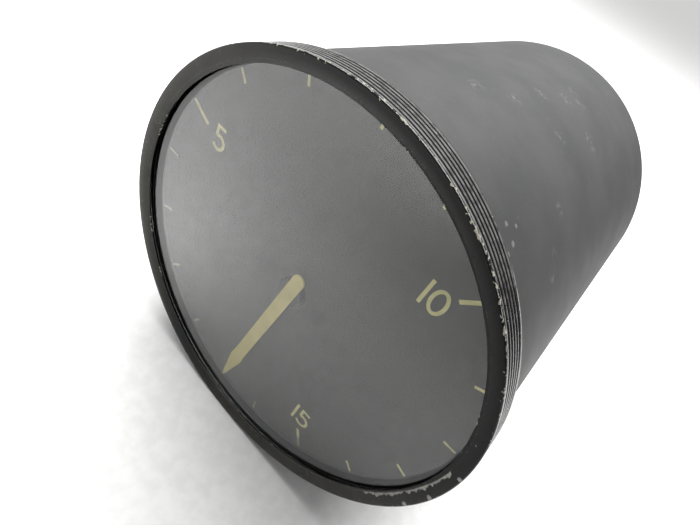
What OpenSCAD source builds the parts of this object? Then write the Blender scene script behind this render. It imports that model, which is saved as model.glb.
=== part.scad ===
// Two-inch clamp-mounted aircraft fuel quantity indicator.
// A sealed case with a grooved bezel holds a geared servo movement that turns one pointer.
// The dial faces -Y, the case runs back along +Y, and +Z is up on the dial.
// The origin lies on the axis, in the plane of the bezel's rear shoulder, which seats on the panel.

/* [Case] */
// Outside diameter of the case, which the panel clamp grips
case_d = 50.8; // [46:0.1:60]
// Length of the case behind the panel seat
case_len = 60.4; // [58:0.1:80]
// Thickness of the case's side wall
case_wall = 0.8; // [0.6:0.05:1]
// Thickness of the case's rear wall
rear_wall = 1.2; // [0.8:0.1:2]
// Radius of the case's rear corner
case_corner_r = 1.6; // [0.8:0.1:3]

/* [Bezel and glass] */
// Step from the case out to the bezel's rim
bezel_step = 0.8; // [0.6:0.05:1.5]
// Step from the case down to the spigot that the bezel fits over
spigot_step = 0.3; // [0.2:0.05:0.4]
// Height of the bezel in front of the panel seat
bezel_h = 3.46; // [3.3:0.02:4.5]
// Width of the bezel's flat front ring
lip_w = 1.6; // [1.5:0.05:2.5]
// Thickness of the lip in front of the glass
lip_t = 0.95; // [0.7:0.05:1.1]
// Bevel on the bezel's front outer edge
edge_bevel = 0.2; // [0.05:0.05:0.3]
// Number of grooves turned round the rim
groove_count = 5; // [2:1:6]
// Front face to the middle of the first groove
front_land = 0.68; // [0.5:0.02:0.9]
// Middle of the last groove to the panel seat
rear_land = 0.62; // [0.4:0.02:0.9]
// Width of a groove at the rim
groove_w = 0.24; // [0.15:0.01:0.3]
// Depth of a groove
groove_depth = 0.2; // [0.1:0.02:0.3]
// Thickness of the cover glass
glass_t = 1.2; // [0.8:0.05:1.3]
// Radial clearance round the glass
glass_gap = 0.05; // [0.02:0.01:0.15]
// Thickness of the gasket behind the glass
gasket_t = 0.25; // [0.15:0.05:0.4]

/* [Dial and pointer] */
// Front face of the bezel to the dial
dial_depth = 3.35; // [3.2:0.05:3.8]
// Thickness of the dial plate
dial_t = 0.75; // [0.5:0.05:1]
// Clearance between the dial and the case wall
dial_gap = 0.2; // [0.1:0.05:0.5]
// Hole in the dial for the pointer hub
dial_hole_d = 4; // [3.9:0.1:6]
// Distance between the two dial screws
dial_screw_pitch = 8.4; // [8:0.1:10]
// Angle of the scale from its first mark to its last
scale_sweep = 344; // [300:1:346]
// Width of the pointer's straight bar
pointer_w = 1.75; // [1.2:0.05:2.5]
// Width of the pointer at its shoulders
shoulder_w = 2.05; // [1.8:0.05:3]
// Length of the tapered tip ahead of the shoulders
tip_len = 5.8; // [4:0.1:8]
// Length of the flare from the bar to the shoulders
flare_len = 1.6; // [0.5:0.1:3]
// Pointer tip to the edge of the dial
tip_inset = 0.9; // [0.5:0.1:4]
// Pivot to the end of the pointer's rounded tail
tail_len = 3.6; // [2:0.1:5]
// Thickness of the pointer blade
pointer_t = 0.25; // [0.15:0.05:0.3]
// Gap between the dial and the pointer blade
pointer_lift = 0.5; // [0.3:0.05:0.6]
// Diameter of the pointer hub
hub_d = 3.4; // [3:0.1:3.8]

/* [Movement frame] */
// Thickness of the two movement plates
plate_t = 1.6; // [1.4:0.1:2]
// Clearance between the plates and the case wall
plate_gap = 0.4; // [0.2:0.05:0.8]
// Distance between the two movement plates
gear_space = 8; // [8:0.1:10]
// Diameter of the pillars between the plates
pillar_d = 4.4; // [3.6:0.1:5]
// Case wall to the middle of the pillars and posts
post_inset = 3.6; // [3.2:0.1:4.4]
// Diameter of the posts behind the rear plate
post_d = 4.6; // [3.6:0.1:5]
// Diameter of the tie screws through the posts
tie_d = 2; // [1.6:0.1:2.4]
// Diameter of the small plate screws
screw_d = 1.6; // [1.2:0.1:2]
// Diameter of the pointer shaft
shaft_d = 2.4; // [2:0.1:2.6]
// Wall of the shaft and arbor bushes
bush_wall = 1; // [0.7:0.1:1.4]
// Thickness of a bush's flange
flange_lip_t = 0.6; // [0.4:0.05:0.8]

/* [Gear train] */
// Teeth on the gear that the pointer shaft carries
output_teeth = 60; // [56:1:66]
// Teeth on each intermediate gear
wheel_teeth = 40; // [36:1:44]
// Teeth on each pinion
pinion_teeth = 12; // [12:1:14]
// Case wall to the nearest gear teeth
train_margin = 1.92; // [1.4:0.02:3]
// Pressure angle of the teeth
pressure_angle = 20; // [20:0.5:25]
// How much each tooth is thinned to run freely
backlash = 0.05; // [0.03:0.01:0.1]
// Thickness of the gears
gear_t = 1.2; // [0.8:0.05:1.4]
// Length of the pinions
pinion_t = 1.8; // [1.5:0.05:2]
// Distance from one gear level to the next
level_step = 2.15; // [2.1:0.05:2.2]
// Diameter of the intermediate arbors
arbor_d = 1.8; // [1.6:0.1:2.2]
// Diameter of the arbors' pivots
pivot_d = 1.2; // [0.8:0.1:1.4]
// End play of the arbors at each plate
end_play = 0.2; // [0.1:0.05:0.3]
// Roots of the output gear's teeth to the middle of the stop pins
stop_inset = 1.06; // [0.8:0.02:2]
// Diameter of the stop pins
stop_d = 0.8; // [0.5:0.05:0.9]

/* [Servo motor] */
// Outside diameter of the motor
motor_d = 12.7; // [12:0.1:13.5]
// Length of the motor's housing
motor_len = 20; // [16:0.5:24]
// Side wall of the motor's housing
motor_wall = 0.75; // [0.5:0.05:1]
// Front wall and end cap of the motor
motor_end_t = 2; // [1.6:0.1:3]
// Clearance between the motor and the case wall
motor_gap = 0.95; // [0.5:0.05:1.2]
// Direction of the motor from the pointer shaft
motor_angle = 150; // [135:1:170]
// Diameter of the motor shaft
motor_shaft_d = 1.6; // [1.2:0.1:1.8]
// Diameter of the rotor
rotor_d = 8.2; // [6:0.1:9]
// Air gap between the rotor and the stator
air_gap = 0.2; // [0.1:0.05:0.3]
// Length of the rotor
rotor_len = 11; // [8:0.5:12]

/* [Rebalance potentiometer] */
// Length of the potentiometer's cup
pot_len = 7.8; // [7:0.1:10]
// Walls of the potentiometer's cup and cover
pot_wall = 1.2; // [0.8:0.1:1.6]
// Clearance between the potentiometer and the motor
pot_gap = 0.95; // [0.5:0.05:1.5]
// Thickness of the resistance winding
winding_t = 1.6; // [1:0.1:2]
// Radial width of the resistance winding
winding_w = 2; // [1.5:0.1:2.5]
// Angle that the resistance winding covers
winding_sweep = 350; // [320:1:354]

/* [Rear fittings] */
// Rear wall to the terminal board
board_gap = 14.6; // [14:0.1:17]
// Thickness of the terminal board
board_t = 1.6; // [1.2:0.1:2]
// Diameter of the two trimmer bodies
trimmer_d = 8.8; // [7:0.1:9]
// Length of the trimmer bodies
trimmer_len = 9; // [7:0.1:10]
// Trimmer body to the case wall
trimmer_inset = 1; // [0.6:0.1:1.4]
// Diameter of the slotted adjusters
adjuster_d = 3; // [2.4:0.1:3.2]
// Wall of the adjusters' bushes
gland_wall = 0.9; // [0.6:0.05:1]
// Receptacle flange to the adjusters' bushes beside it
gland_gap = 0.4; // [0.3:0.05:1]
// Number of turret lugs on the terminal board
lug_count = 8; // [4:1:10]

/* [Receptacle] */
// Width of the square flange
flange_w = 26; // [24.4:0.1:29]
// Thickness of the square flange
flange_t = 2; // [1.6:0.1:3]
// Distance between the flange's screw holes
flange_pitch = 19.6; // [19:0.1:20.4]
// Diameter of the flange screws
flange_screw_d = 2; // [1.6:0.1:2.2]
// Thickness of the gasket under the flange
flange_gasket_t = 0.5; // [0.3:0.1:1]
// Outside diameter of the threaded barrel
barrel_d = 19.05; // [18.4:0.05:20]
// Length of the barrel behind the flange
barrel_len = 9.5; // [8:0.1:14]
// Inside diameter of the barrel
barrel_bore = 16; // [15.4:0.1:16.4]
// Length of the barrel's shank inside the case
shank_len = 5.4; // [4:0.1:6]
// Flange to the face that the contacts stand on
insert_proud = 2; // [1:0.1:4]
// Number of contacts
contact_count = 8; // [5:1:9]
// Diameter of the contacts
contact_d = 1.6; // [1.2:0.1:1.8]
// Diameter of the circle of contacts
contact_circle_d = 10.8; // [10:0.1:11.4]

/* [Fits] */
// Clearance between pieces that are fixed together
slip = 0.02; // [0.01:0.005:0.04]
// Radial clearance of shafts in their bushes
run = 0.04; // [0.02:0.005:0.08]

/* [Hidden] */

$fn = 96;
// Overshoot of a cut past the face it opens
cut = 1;

// Radii that follow from the case
case_r = case_d / 2;
inner_r = case_r - case_wall;
spigot_r = case_r - spigot_step;
bezel_r = case_r + bezel_step;
bezel_bore_r = spigot_r + slip;
glass_r = bezel_bore_r - glass_gap;
aperture_r = bezel_r - lip_w;
groove_pitch = (bezel_h - front_land - rear_land) / (groove_count - 1);
groove_floor_w = groove_w * 0.7;
dial_r = inner_r - dial_gap;
plate_r = inner_r - plate_gap;
post_r = inner_r - post_inset;
motor_r = motor_d / 2;
motor_offset = inner_r - motor_gap - motor_r;
pot_r = motor_offset - motor_r - pot_gap;
trimmer_offset = inner_r - trimmer_inset - trimmer_d / 2;

// Stations along the axis, counted forward from the panel seat
z_face = bezel_h;
z_glass = z_face - lip_t;
z_gasket = z_glass - glass_t;
z_rim = z_gasket - gasket_t;
z_dial = z_face - dial_depth;
z_blade = z_dial + pointer_lift;
z_front = z_dial - dial_t;
z_front_back = z_front - plate_t;
z_rear = z_front_back - gear_space;
z_rear_back = z_rear - plate_t;
z_motor_end = z_rear_back - motor_len;
z_pot_floor = z_rear_back - pot_wall;
z_pot_end = z_rear_back - pot_len;
z_wall = -case_len;
z_wall_in = z_wall + rear_wall;
z_board_back = z_wall_in + board_gap;
z_board = z_board_back + board_t;
z_flange = z_wall - flange_gasket_t;
z_flange_out = z_flange - flange_t;
z_insert = z_flange_out - insert_proud;
z_barrel = z_flange_out - barrel_len;
z_shank = z_flange + shank_len;

// Gear train: tooth height in modules, and a module that fills the plates
wheel_addendum = 0.7;
pinion_addendum = 0.9;
dedendum = 1.1;
flank_steps = 4;
train_radius = (output_teeth + pinion_teeth) / 2 + wheel_teeth / 2 + wheel_addendum;
gear_module = (inner_r - train_margin) / train_radius;
output_reach = gear_module * (output_teeth + pinion_teeth) / 2;
wheel_reach = gear_module * (wheel_teeth + pinion_teeth) / 2;
stop_r = root_radius(output_teeth) - stop_inset;

// The first arbor stands between the motor and the second arbor
first_angle = motor_angle - corner_angle(output_reach, motor_offset, wheel_reach);
second_angle = first_angle - corner_angle(output_reach, output_reach, wheel_reach);
first_at = polar_point(output_reach, first_angle);
second_at = polar_point(output_reach, second_angle);
motor_at = polar_point(motor_offset, motor_angle);

// Gear levels, from the front plate back
hub_step = 0.2;
level_1 = z_front_back - flange_lip_t - end_play - hub_step - gear_t / 2;
level_2 = level_1 - level_step;
level_3 = level_2 - level_step;

// The pointer points at the first mark, and the teeth mesh from there through the train
zero_angle = -90 - (360 - scale_sweep) / 2;
output_phase = zero_angle;
second_pinion_phase = mesh_phase(second_angle, output_phase, output_teeth, pinion_teeth);
second_gear_phase = second_pinion_phase;
to_first = heading(second_at, first_at);
first_pinion_phase = mesh_phase(to_first, second_gear_phase, wheel_teeth, pinion_teeth);
first_gear_phase = first_pinion_phase;
to_motor = heading(first_at, motor_at);
motor_phase = mesh_phase(to_motor, first_gear_phase, wheel_teeth, pinion_teeth);

// The fixed post stands in the middle of the scale's gap, as seen from the moving pin
stop_pin_angle = zero_angle + 180;
stop_post_angle = stop_pin_angle + (360 - scale_sweep) / 2;

// Places round the axis
pillar_angles = [15, 190, 280];
post_angles = [90, 210, 330];
pot_screw_angles = [60, 240];
wire_angle = 245;

// Small screws: head sizes follow the shank
head_ratio = 2.1;
head_h_ratio = 0.6;
slot_w = 0.35;
pillar_screw_len = 3;
dial_screw_d = 1;
motor_screw_d = 1.2;

// Pointer hub and blade
hub_cap = 0.2;
point_w = 0.3;

// Bushes of the shaft and the arbors
bush_flange_w = 0.8;
shaft_bush_r = shaft_d / 2 + bush_wall;
shaft_flange_r = shaft_bush_r + bush_flange_w;
arbor_bush_r = pivot_d / 2 + bush_wall;
gear_hub_wall = 1;
gear_hub_len = 0.5;
gear_web = 1.6;
wire_notch_r = 2.5;

// Motor: bearings, rotor place and the screws in its front wall
bearing_wall = 1.2;
bearing_r = motor_shaft_d / 2 + bearing_wall;
stator_r = rotor_d / 2 + air_gap;
z_rotor = (z_rear_back + z_motor_end) / 2;
motor_screw_inset = 1.95;
motor_screw_offset = motor_r - motor_screw_inset;
pilot_r = 3.2;

// Rebalance potentiometer
pot_screw_r = 5;
winding_gap = 0.4;
winding_r = pot_r - pot_wall - winding_gap;
wiper_r = winding_r - winding_w / 2;
shaft_end = 0.6;
terminal_r = 0.6;
terminal_len = 3;
terminal_spread = 25;

// Terminal board
lug_circle_r = 12;
lug_r = 1;
lug_neck_r = 0.6;
lug_lip_t = 0.5;
lug_len = 2.2;
board_hole_r = 5;
board_notch_r = 4;

// Trimmers and their adjusters
boss_r = 2;
gland_r = adjuster_d / 2 + run + gland_wall;
gland_flange_t = 0.8;
gland_flange_w = 0.6;
gland_flange_r = gland_r + gland_flange_w;
// They stand against the case wall, as high as clears the receptacle's flange
trimmer_angle = acos((flange_w / 2 + gland_gap + gland_flange_r) / trimmer_offset);
trimmer_angles = [trimmer_angle, 180 - trimmer_angle];
adjuster_grip = 5;
adjuster_proud = 0.4;
adjuster_slot_w = 0.6;
adjuster_slot_depth = 0.9;
collar_t = 1;

// Receptacle
flange_corner_r = 2;
shank_step = 0.5;
shank_d = barrel_d - 2 * shank_step;
pin_recess = 1.2;
pin_stand = barrel_len - insert_proud - pin_recess;
cup_len = 4;
cup_wall = 0.4;
cup_step = 0.3;
cup_r = contact_d / 2 + cup_step;
key_w = 1.6;
key_depth = 0.7;
nut_w = 4;
nut_h = 1.6;

function polar_point(r, a) = [r * cos(a), r * sin(a)];
function heading(from, to) = atan2(to[1] - from[1], to[0] - from[0]);
// Angle at the axis between two arms whose ends stand a distance apart
function corner_angle(a, b, apart) = acos((a * a + b * b - apart * apart) / (2 * a * b));
// Turn of a gear that puts its space where its neighbour's tooth stands
function mesh_phase(toward, phase, teeth, own_teeth) =
    toward + 180 + 180 / own_teeth - (phase - toward) * teeth / own_teeth;

// Involute tooth: its root, half of its angle at a radius, then the whole outline
function root_radius(teeth) = gear_module * (teeth / 2 - dedendum);
function involute(a) = tan(a) * 180 / PI - a;
function half_tooth(teeth, r) =
    let (pitch_r = teeth * gear_module / 2, base_r = pitch_r * cos(pressure_angle))
    90 / teeth - backlash / 2 / pitch_r * 180 / PI + involute(pressure_angle)
        - (r > base_r ? involute(acos(base_r / r)) : 0);
function flank_radii(teeth, addendum) =
    let (
        pitch_r = teeth * gear_module / 2,
        root_r = root_radius(teeth),
        tip_r = pitch_r + addendum * gear_module,
        base_r = pitch_r * cos(pressure_angle),
        start_r = max(root_r, base_r)
    )
    concat(
        root_r < base_r ? [root_r] : [],
        [for (i = [0:flank_steps - 1]) start_r + (tip_r - start_r) * i / (flank_steps - 1)]
    );
function gear_outline(teeth, addendum) =
    let (radii = flank_radii(teeth, addendum), last = len(radii) - 1)
    [for (k = [0:teeth - 1]) each concat(
        [for (i = [0:last]) polar_point(radii[i], 360 * k / teeth - half_tooth(teeth, radii[i]))],
        [for (i = [last:-1:0]) polar_point(radii[i], 360 * k / teeth + half_tooth(teeth, radii[i]))]
    )];

// Stands the gauge up: the dial's right, up and front become +X, +Z and -Y
module stand_up() {
    rotate([90, 0, 0]) children();
}

module around(r, angles) {
    for (a = angles) rotate(a) translate([r, 0, 0]) children();
}

module rod(r, z_low, z_high) {
    translate([0, 0, z_low]) cylinder(r = r, h = z_high - z_low);
}

module tube(r, bore_r, z_low, z_high) {
    difference() {
        rod(r, z_low, z_high);
        rod(bore_r, z_low - cut, z_high + cut);
    }
}

module toothed(teeth, addendum, phase, z_middle, thickness) {
    translate([0, 0, z_middle - thickness / 2]) rotate(phase)
        linear_extrude(thickness) polygon(gear_outline(teeth, addendum));
}

module rounded_square(w, r) {
    inner = w - 2 * r;
    square([w, inner], center = true);
    square([inner, w], center = true);
    for (x = [-1, 1], y = [-1, 1]) translate([x, y] * inner / 2) circle(r);
}

// A slotted screw whose countersunk head is flush with z = 0, its shank down
module flat_screw(d, length) {
    head_h = d * head_h_ratio;
    difference() {
        union() {
            translate([0, 0, -head_h]) cylinder(d1 = d, d2 = d * head_ratio, h = head_h);
            rod(d / 2, -length, -head_h);
        }
        translate([0, 0, -head_h / 4 + cut / 2])
            cube([d * head_ratio + cut, slot_w, head_h / 2 + cut], center = true);
    }
}

// The hole that a flat screw sits in
module flat_hole(d, length) {
    head_h = d * head_h_ratio;
    translate([0, 0, -head_h])
        cylinder(d1 = d + 2 * slip, d2 = d * head_ratio + 2 * slip, h = head_h);
    rod(d / 2 + slip, -length, -head_h / 2);
    rod(d * head_ratio / 2 + slip, 0, cut);
}

// A slotted screw whose round head stands on z = 0, its shank down
module cheese_screw(d, length) {
    head_r = d * head_ratio / 2;
    head_h = d * head_h_ratio;
    dome_r = head_r * 2;
    difference() {
        union() {
            intersection() {
                rod(head_r, 0, head_h);
                translate([0, 0, head_h - dome_r]) sphere(dome_r);
            }
            rod(d / 2, -length, 0);
        }
        translate([0, 0, head_h]) cube([2 * head_r + cut, slot_w, head_h], center = true);
    }
}

// Drawn case: a cup with a round rear corner, open at the front
module case_shell() color("#3a3b3c") stand_up() difference() {
    rotate_extrude() difference() {
        union() {
            translate([0, z_wall + case_corner_r]) square([case_r, case_len - case_corner_r]);
            polygon([[0, 0], [case_r, 0], [spigot_r, spigot_step], [spigot_r, z_rim], [0, z_rim]]);
            translate([0, z_wall]) square([case_r - case_corner_r, case_corner_r]);
            translate([case_r - case_corner_r, z_wall + case_corner_r])
                intersection() {
                    circle(case_corner_r);
                    translate([0, -case_corner_r]) square(case_corner_r);
                }
        }
        translate([0, z_wall_in]) square([inner_r, case_len + z_rim]);
    }
    rod(shank_d / 2 + slip, z_wall - cut, z_wall_in + cut);
    flange_screw_places() rod(flange_screw_d / 2 + slip, z_wall - cut, z_wall_in + cut);
    around(post_r, post_angles) rod(tie_d / 2 + slip, z_wall - cut, z_wall_in + cut);
    around(trimmer_offset, trimmer_angles) rod(gland_r + slip, z_wall - cut, z_wall_in + cut);
}

// Turned bezel: a ring over the case's spigot and its bevelled shoulder, with a lip that holds the glass
module bezel_ring() color("#222324") stand_up() rotate_extrude() difference() {
    polygon([
        [case_r + slip, 0], [bezel_r, 0], [bezel_r, bezel_h - edge_bevel], [bezel_r - edge_bevel, bezel_h],
        [aperture_r, bezel_h], [aperture_r, z_glass], [bezel_bore_r, z_glass], [bezel_bore_r, spigot_step]
    ]);
    for (i = [0:groove_count - 1]) translate([bezel_r, bezel_h - front_land - i * groove_pitch])
        groove_section();
}

// A groove's section: slightly narrower at its floor than at the rim
module groove_section() {
    polygon([
        [cut, -groove_w / 2], [cut, groove_w / 2], [0, groove_w / 2],
        [-groove_depth, groove_floor_w / 2], [-groove_depth, -groove_floor_w / 2], [0, -groove_w / 2]
    ]);
}

module cover_glass() color("#c8d4d6", 0.25) stand_up() rod(glass_r, z_gasket, z_glass);

module glass_gasket() color("#1a1a1a") stand_up() tube(glass_r, inner_r, z_rim, z_gasket);

module dial_screw_places() {
    for (x = [-1, 1]) translate([x * dial_screw_pitch / 2, 0, 0]) children();
}

module dial_plate() color("#2b2c2d") stand_up() difference() {
    rod(dial_r, z_front, z_dial);
    rod(dial_hole_d / 2, z_front - cut, z_dial + cut);
    translate([0, 0, z_dial]) dial_screw_places() flat_hole(dial_screw_d, dial_t + cut);
}

module dial_screws() color("#1c1c1c") stand_up()
    translate([0, 0, z_dial]) dial_screw_places() flat_screw(dial_screw_d, dial_t + plate_t);

// Blade outline: a bar with a round tail, a slight flare to the shoulders and a tapered tip
module pointer() color("#b8ab80") stand_up()
    translate([0, 0, z_blade]) rotate(zero_angle) linear_extrude(pointer_t) union() {
        tip_x = dial_r - tip_inset;
        shoulder_x = tip_x - tip_len;
        bar_end_x = shoulder_x - flare_len;
        tail_x = -tail_len + pointer_w / 2;
        polygon([
            [tail_x, -pointer_w / 2], [bar_end_x, -pointer_w / 2], [shoulder_x, -shoulder_w / 2],
            [tip_x, -point_w / 2], [tip_x, point_w / 2],
            [shoulder_x, shoulder_w / 2], [bar_end_x, pointer_w / 2], [tail_x, pointer_w / 2]
        ]);
        translate([tail_x, 0]) circle(d = pointer_w);
    }

// Hub under the blade, pressed on the shaft's front end
module pointer_hub() color("#1f1f1f") stand_up() difference() {
    rod(hub_d / 2, z_front + end_play, z_blade);
    rod(shaft_d / 2 + slip, z_front - cut, z_blade - hub_cap);
}

module pointer_shaft() color("#8f9396") stand_up()
    rod(shaft_d / 2, z_pot_end - pot_wall - shaft_end, z_blade - hub_cap);

// Movement plates with their bush, pillar and screw holes
module plate_holes(z_low, z_high) {
    rod(shaft_bush_r + slip, z_low, z_high);
    for (at = [first_at, second_at]) translate(at) rod(arbor_bush_r + slip, z_low, z_high);
}

module front_plate() color("#b9a25a") stand_up() difference() {
    rod(plate_r, z_front_back, z_front);
    plate_holes(z_front_back - cut, z_front + cut);
    dial_screw_places() rod(dial_screw_d / 2 + slip, z_front_back - cut, z_front + cut);
    translate([0, 0, z_front]) around(post_r, pillar_angles) flat_hole(screw_d, plate_t + cut);
    rotate(stop_post_angle) translate([stop_r, 0, 0])
        rod(stop_d / 2 + slip, z_front_back - cut, z_front + cut);
}

module rear_plate() color("#b9a25a") stand_up() difference() {
    rod(plate_r, z_rear_back, z_rear);
    plate_holes(z_rear_back - cut, z_rear + cut);
    around(post_r, pillar_angles) rod(screw_d / 2 + slip, z_rear_back - cut, z_rear + cut);
    around(post_r, post_angles) rod(tie_d / 2 + slip, z_rear_back - cut, z_rear + cut);
    translate([0, 0, z_rear]) around(pot_screw_r, pot_screw_angles) flat_hole(screw_d, plate_t + cut);
    translate(motor_at) rod(pilot_r, z_rear_back - cut, z_rear + cut);
    motor_screw_places() rod(motor_screw_d / 2 + slip, z_rear_back - cut, z_rear + cut);
    // Notch at the edge where the wires pass
    around(plate_r, [wire_angle]) rod(wire_notch_r, z_rear_back - cut, z_rear + cut);
}

module frame_pillars() color("#c2ad68") stand_up() around(post_r, pillar_angles) difference() {
    rod(pillar_d / 2, z_rear, z_front_back);
    rod(screw_d / 2 + slip, z_front_back - pillar_screw_len - end_play, z_front_back + cut);
    rod(screw_d / 2 + slip, z_rear - cut, z_rear + pillar_screw_len + end_play);
}

module front_plate_screws() color("#a9a9a4") stand_up()
    translate([0, 0, z_front]) around(post_r, pillar_angles)
        flat_screw(screw_d, plate_t + pillar_screw_len);

module rear_plate_screws() color("#a9a9a4") stand_up()
    translate([0, 0, z_rear_back]) around(post_r, pillar_angles)
        rotate([180, 0, 0]) cheese_screw(screw_d, plate_t + pillar_screw_len);

// Flanged bushes of the pointer shaft, pressed in from between the plates
module front_bush() color("#d0b768") stand_up() difference() {
    union() {
        rod(shaft_bush_r, z_front_back, z_front);
        rod(shaft_flange_r, z_front_back - flange_lip_t, z_front_back);
    }
    rod(shaft_d / 2 + run, z_front_back - flange_lip_t - cut, z_front + cut);
}

module rear_bush() color("#d0b768") stand_up() difference() {
    union() {
        rod(shaft_bush_r, z_rear_back, z_rear);
        rod(shaft_flange_r, z_rear, z_rear + flange_lip_t);
    }
    rod(shaft_d / 2 + run, z_rear_back - cut, z_rear + flange_lip_t + cut);
}

module arbor_bushes() color("#d0b768") stand_up() for (at = [first_at, second_at]) translate(at) {
    tube(arbor_bush_r, pivot_d / 2 + run, z_front_back, z_front);
    tube(arbor_bush_r, pivot_d / 2 + run, z_rear_back, z_rear);
}

// Stops just past both ends of the scale: a fixed post and a pin that rides on the output gear
module stop_post() color("#9a9a96") stand_up() rotate(stop_post_angle) translate([stop_r, 0, 0])
    rod(stop_d / 2, level_1 + gear_t / 2 + end_play, z_front);

module stop_pin() color("#9a9a96") stand_up() rotate(stop_pin_angle) translate([stop_r, 0, 0])
    rod(stop_d / 2, level_1 - gear_t / 2, z_front_back - end_play);

// Round holes that lighten a gear's web, between its hub and its rim
module lightening_holes(hub_r, rim_r, hole_angles, level) {
    hole_r = (rim_r - hub_r) / 2 - gear_web;
    around(hub_r + gear_web + hole_r, hole_angles) rod(hole_r, level - gear_t, level + gear_t);
}

// Output gear: toothed disc with lightening holes and a long hub that locates the shaft endways
module output_gear() color("#cdb25e") stand_up() difference() {
    hub_r = shaft_bush_r;
    hole_count = 5;
    union() {
        toothed(output_teeth, wheel_addendum, output_phase, level_1, gear_t);
        rod(hub_r, z_rear + flange_lip_t + end_play, level_1);
        rod(hub_r, level_1, z_front_back - flange_lip_t - end_play);
    }
    rod(shaft_d / 2 + slip, z_rear, z_front);
    lightening_holes(hub_r, stop_r - stop_d / 2,
        [for (k = [0:hole_count - 1]) zero_angle + 360 / hole_count * (k + 0.5)], level_1);
    rotate(stop_pin_angle) translate([stop_r, 0, 0])
        rod(stop_d / 2 + slip, level_1 - gear_t, level_1 + gear_t);
}

// An arbor turned with its pinion, with a pivot at each end
module pinion_arbor(level, phase) {
    rod(arbor_d / 2, z_rear + end_play, z_front_back - end_play);
    rod(pivot_d / 2, z_rear_back + end_play, z_rear + end_play);
    rod(pivot_d / 2, z_front_back - end_play, z_front - end_play);
    toothed(pinion_teeth, pinion_addendum, phase, level, pinion_t);
}

// A gear pressed on an arbor, with a hub behind its teeth
module arbor_gear(level, phase) {
    hub_r = arbor_d / 2 + gear_hub_wall;
    hole_count = 4;
    difference() {
        union() {
            toothed(wheel_teeth, wheel_addendum, phase, level, gear_t);
            rod(hub_r, level - gear_t / 2 - gear_hub_len, level);
        }
        rod(arbor_d / 2 + slip, level - gear_t - cut, level + gear_t);
        lightening_holes(hub_r, root_radius(wheel_teeth),
            [for (k = [0:hole_count - 1]) 360 / hole_count * k], level);
    }
}

module second_arbor() color("#9fa2a4") stand_up() translate(second_at)
    pinion_arbor(level_1, second_pinion_phase);

module second_gear() color("#cdb25e") stand_up() translate(second_at)
    arbor_gear(level_2, second_gear_phase);

module first_arbor() color("#9fa2a4") stand_up() translate(first_at)
    pinion_arbor(level_2, first_pinion_phase);

module first_gear() color("#cdb25e") stand_up() translate(first_at)
    arbor_gear(level_3, first_gear_phase);

// Servo motor: housing open at the rear, stator, rotor on its shaft, and an end cap
module motor_screw_places() {
    translate(motor_at) rotate(motor_angle) for (y = [-1, 1])
        translate([0, y * motor_screw_offset, 0]) children();
}

module motor_housing() color("#8d9194") stand_up() difference() {
    translate(motor_at) difference() {
        rod(motor_r, z_motor_end, z_rear_back);
        rod(motor_r - motor_wall, z_motor_end - cut, z_rear_back - motor_end_t);
        rod(bearing_r + slip, z_motor_end, z_rear_back + cut);
    }
    motor_screw_places() rod(motor_screw_d / 2 + slip, z_rear_back - motor_end_t, z_rear_back + cut);
}

module motor_stator() color("#5b5f63") stand_up() translate(motor_at)
    tube(motor_r - motor_wall - slip, stator_r, z_rotor - rotor_len / 2, z_rotor + rotor_len / 2);

module motor_end_cap() color("#74787b") stand_up() translate(motor_at)
    tube(motor_r, bearing_r + slip, z_motor_end - motor_end_t, z_motor_end);

module motor_bearings() color("#c9cdd0") stand_up() translate(motor_at)
    for (z = [z_rear_back - motor_end_t, z_motor_end - motor_end_t])
        tube(bearing_r, motor_shaft_d / 2 + run, z, z + motor_end_t);

module motor_rotor() color("#70757a") stand_up() translate(motor_at)
    tube(rotor_d / 2, motor_shaft_d / 2 + slip, z_rotor - rotor_len / 2, z_rotor + rotor_len / 2);

module motor_shaft() color("#a5a9ac") stand_up() translate(motor_at)
    rod(motor_shaft_d / 2, z_motor_end - motor_end_t - end_play, level_3 + pinion_t / 2 + end_play);

module motor_pinion() color("#9fa2a4") stand_up() translate(motor_at) difference() {
    toothed(pinion_teeth, pinion_addendum, motor_phase, level_3, pinion_t);
    rod(motor_shaft_d / 2 + slip, level_3 - pinion_t, level_3 + pinion_t);
}

module motor_screws() color("#a9a9a4") stand_up() translate([0, 0, z_rear])
    motor_screw_places() cheese_screw(motor_screw_d, plate_t + motor_end_t - end_play);

// Rebalance potentiometer: the pointer shaft turns a wiper on a ring of resistance wire
module pot_housing() color("#4a2f1c") stand_up() difference() {
    rod(pot_r, z_pot_end, z_rear_back);
    rod(pot_r - pot_wall, z_pot_end - cut, z_pot_floor);
    rod(shaft_bush_r, z_pot_end, z_rear_back + cut);
    around(pot_screw_r, pot_screw_angles) rod(screw_d / 2 + slip, z_pot_end, z_rear_back + cut);
}

module pot_winding() color("#b5702f") stand_up()
    rotate(90 - winding_sweep / 2) rotate_extrude(angle = winding_sweep)
        translate([winding_r - winding_w, z_pot_floor - winding_t]) square([winding_w, winding_t]);

module pot_wiper() color("#c9b26a") stand_up() rotate(zero_angle) difference() {
    arm_w = 1.6;
    arm_t = 0.4;
    touch_r = 0.5;
    hub_len = 2.4;
    touch_h = 0.5;
    z_touch = z_pot_floor - winding_t - run;
    z_arm = z_touch - touch_h;
    union() {
        rod(shaft_bush_r, z_arm - hub_len, z_arm);
        translate([0, -arm_w / 2, z_arm - arm_t]) cube([wiper_r, arm_w, arm_t]);
        translate([wiper_r, 0, 0]) rod(touch_r, z_arm - arm_t, z_touch);
    }
    rod(shaft_d / 2 + slip, z_pot_end, z_rear_back);
}

module pot_cover() color("#3d2718") stand_up()
    tube(pot_r, shaft_d / 2 + run, z_pot_end - pot_wall, z_pot_end);

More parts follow.
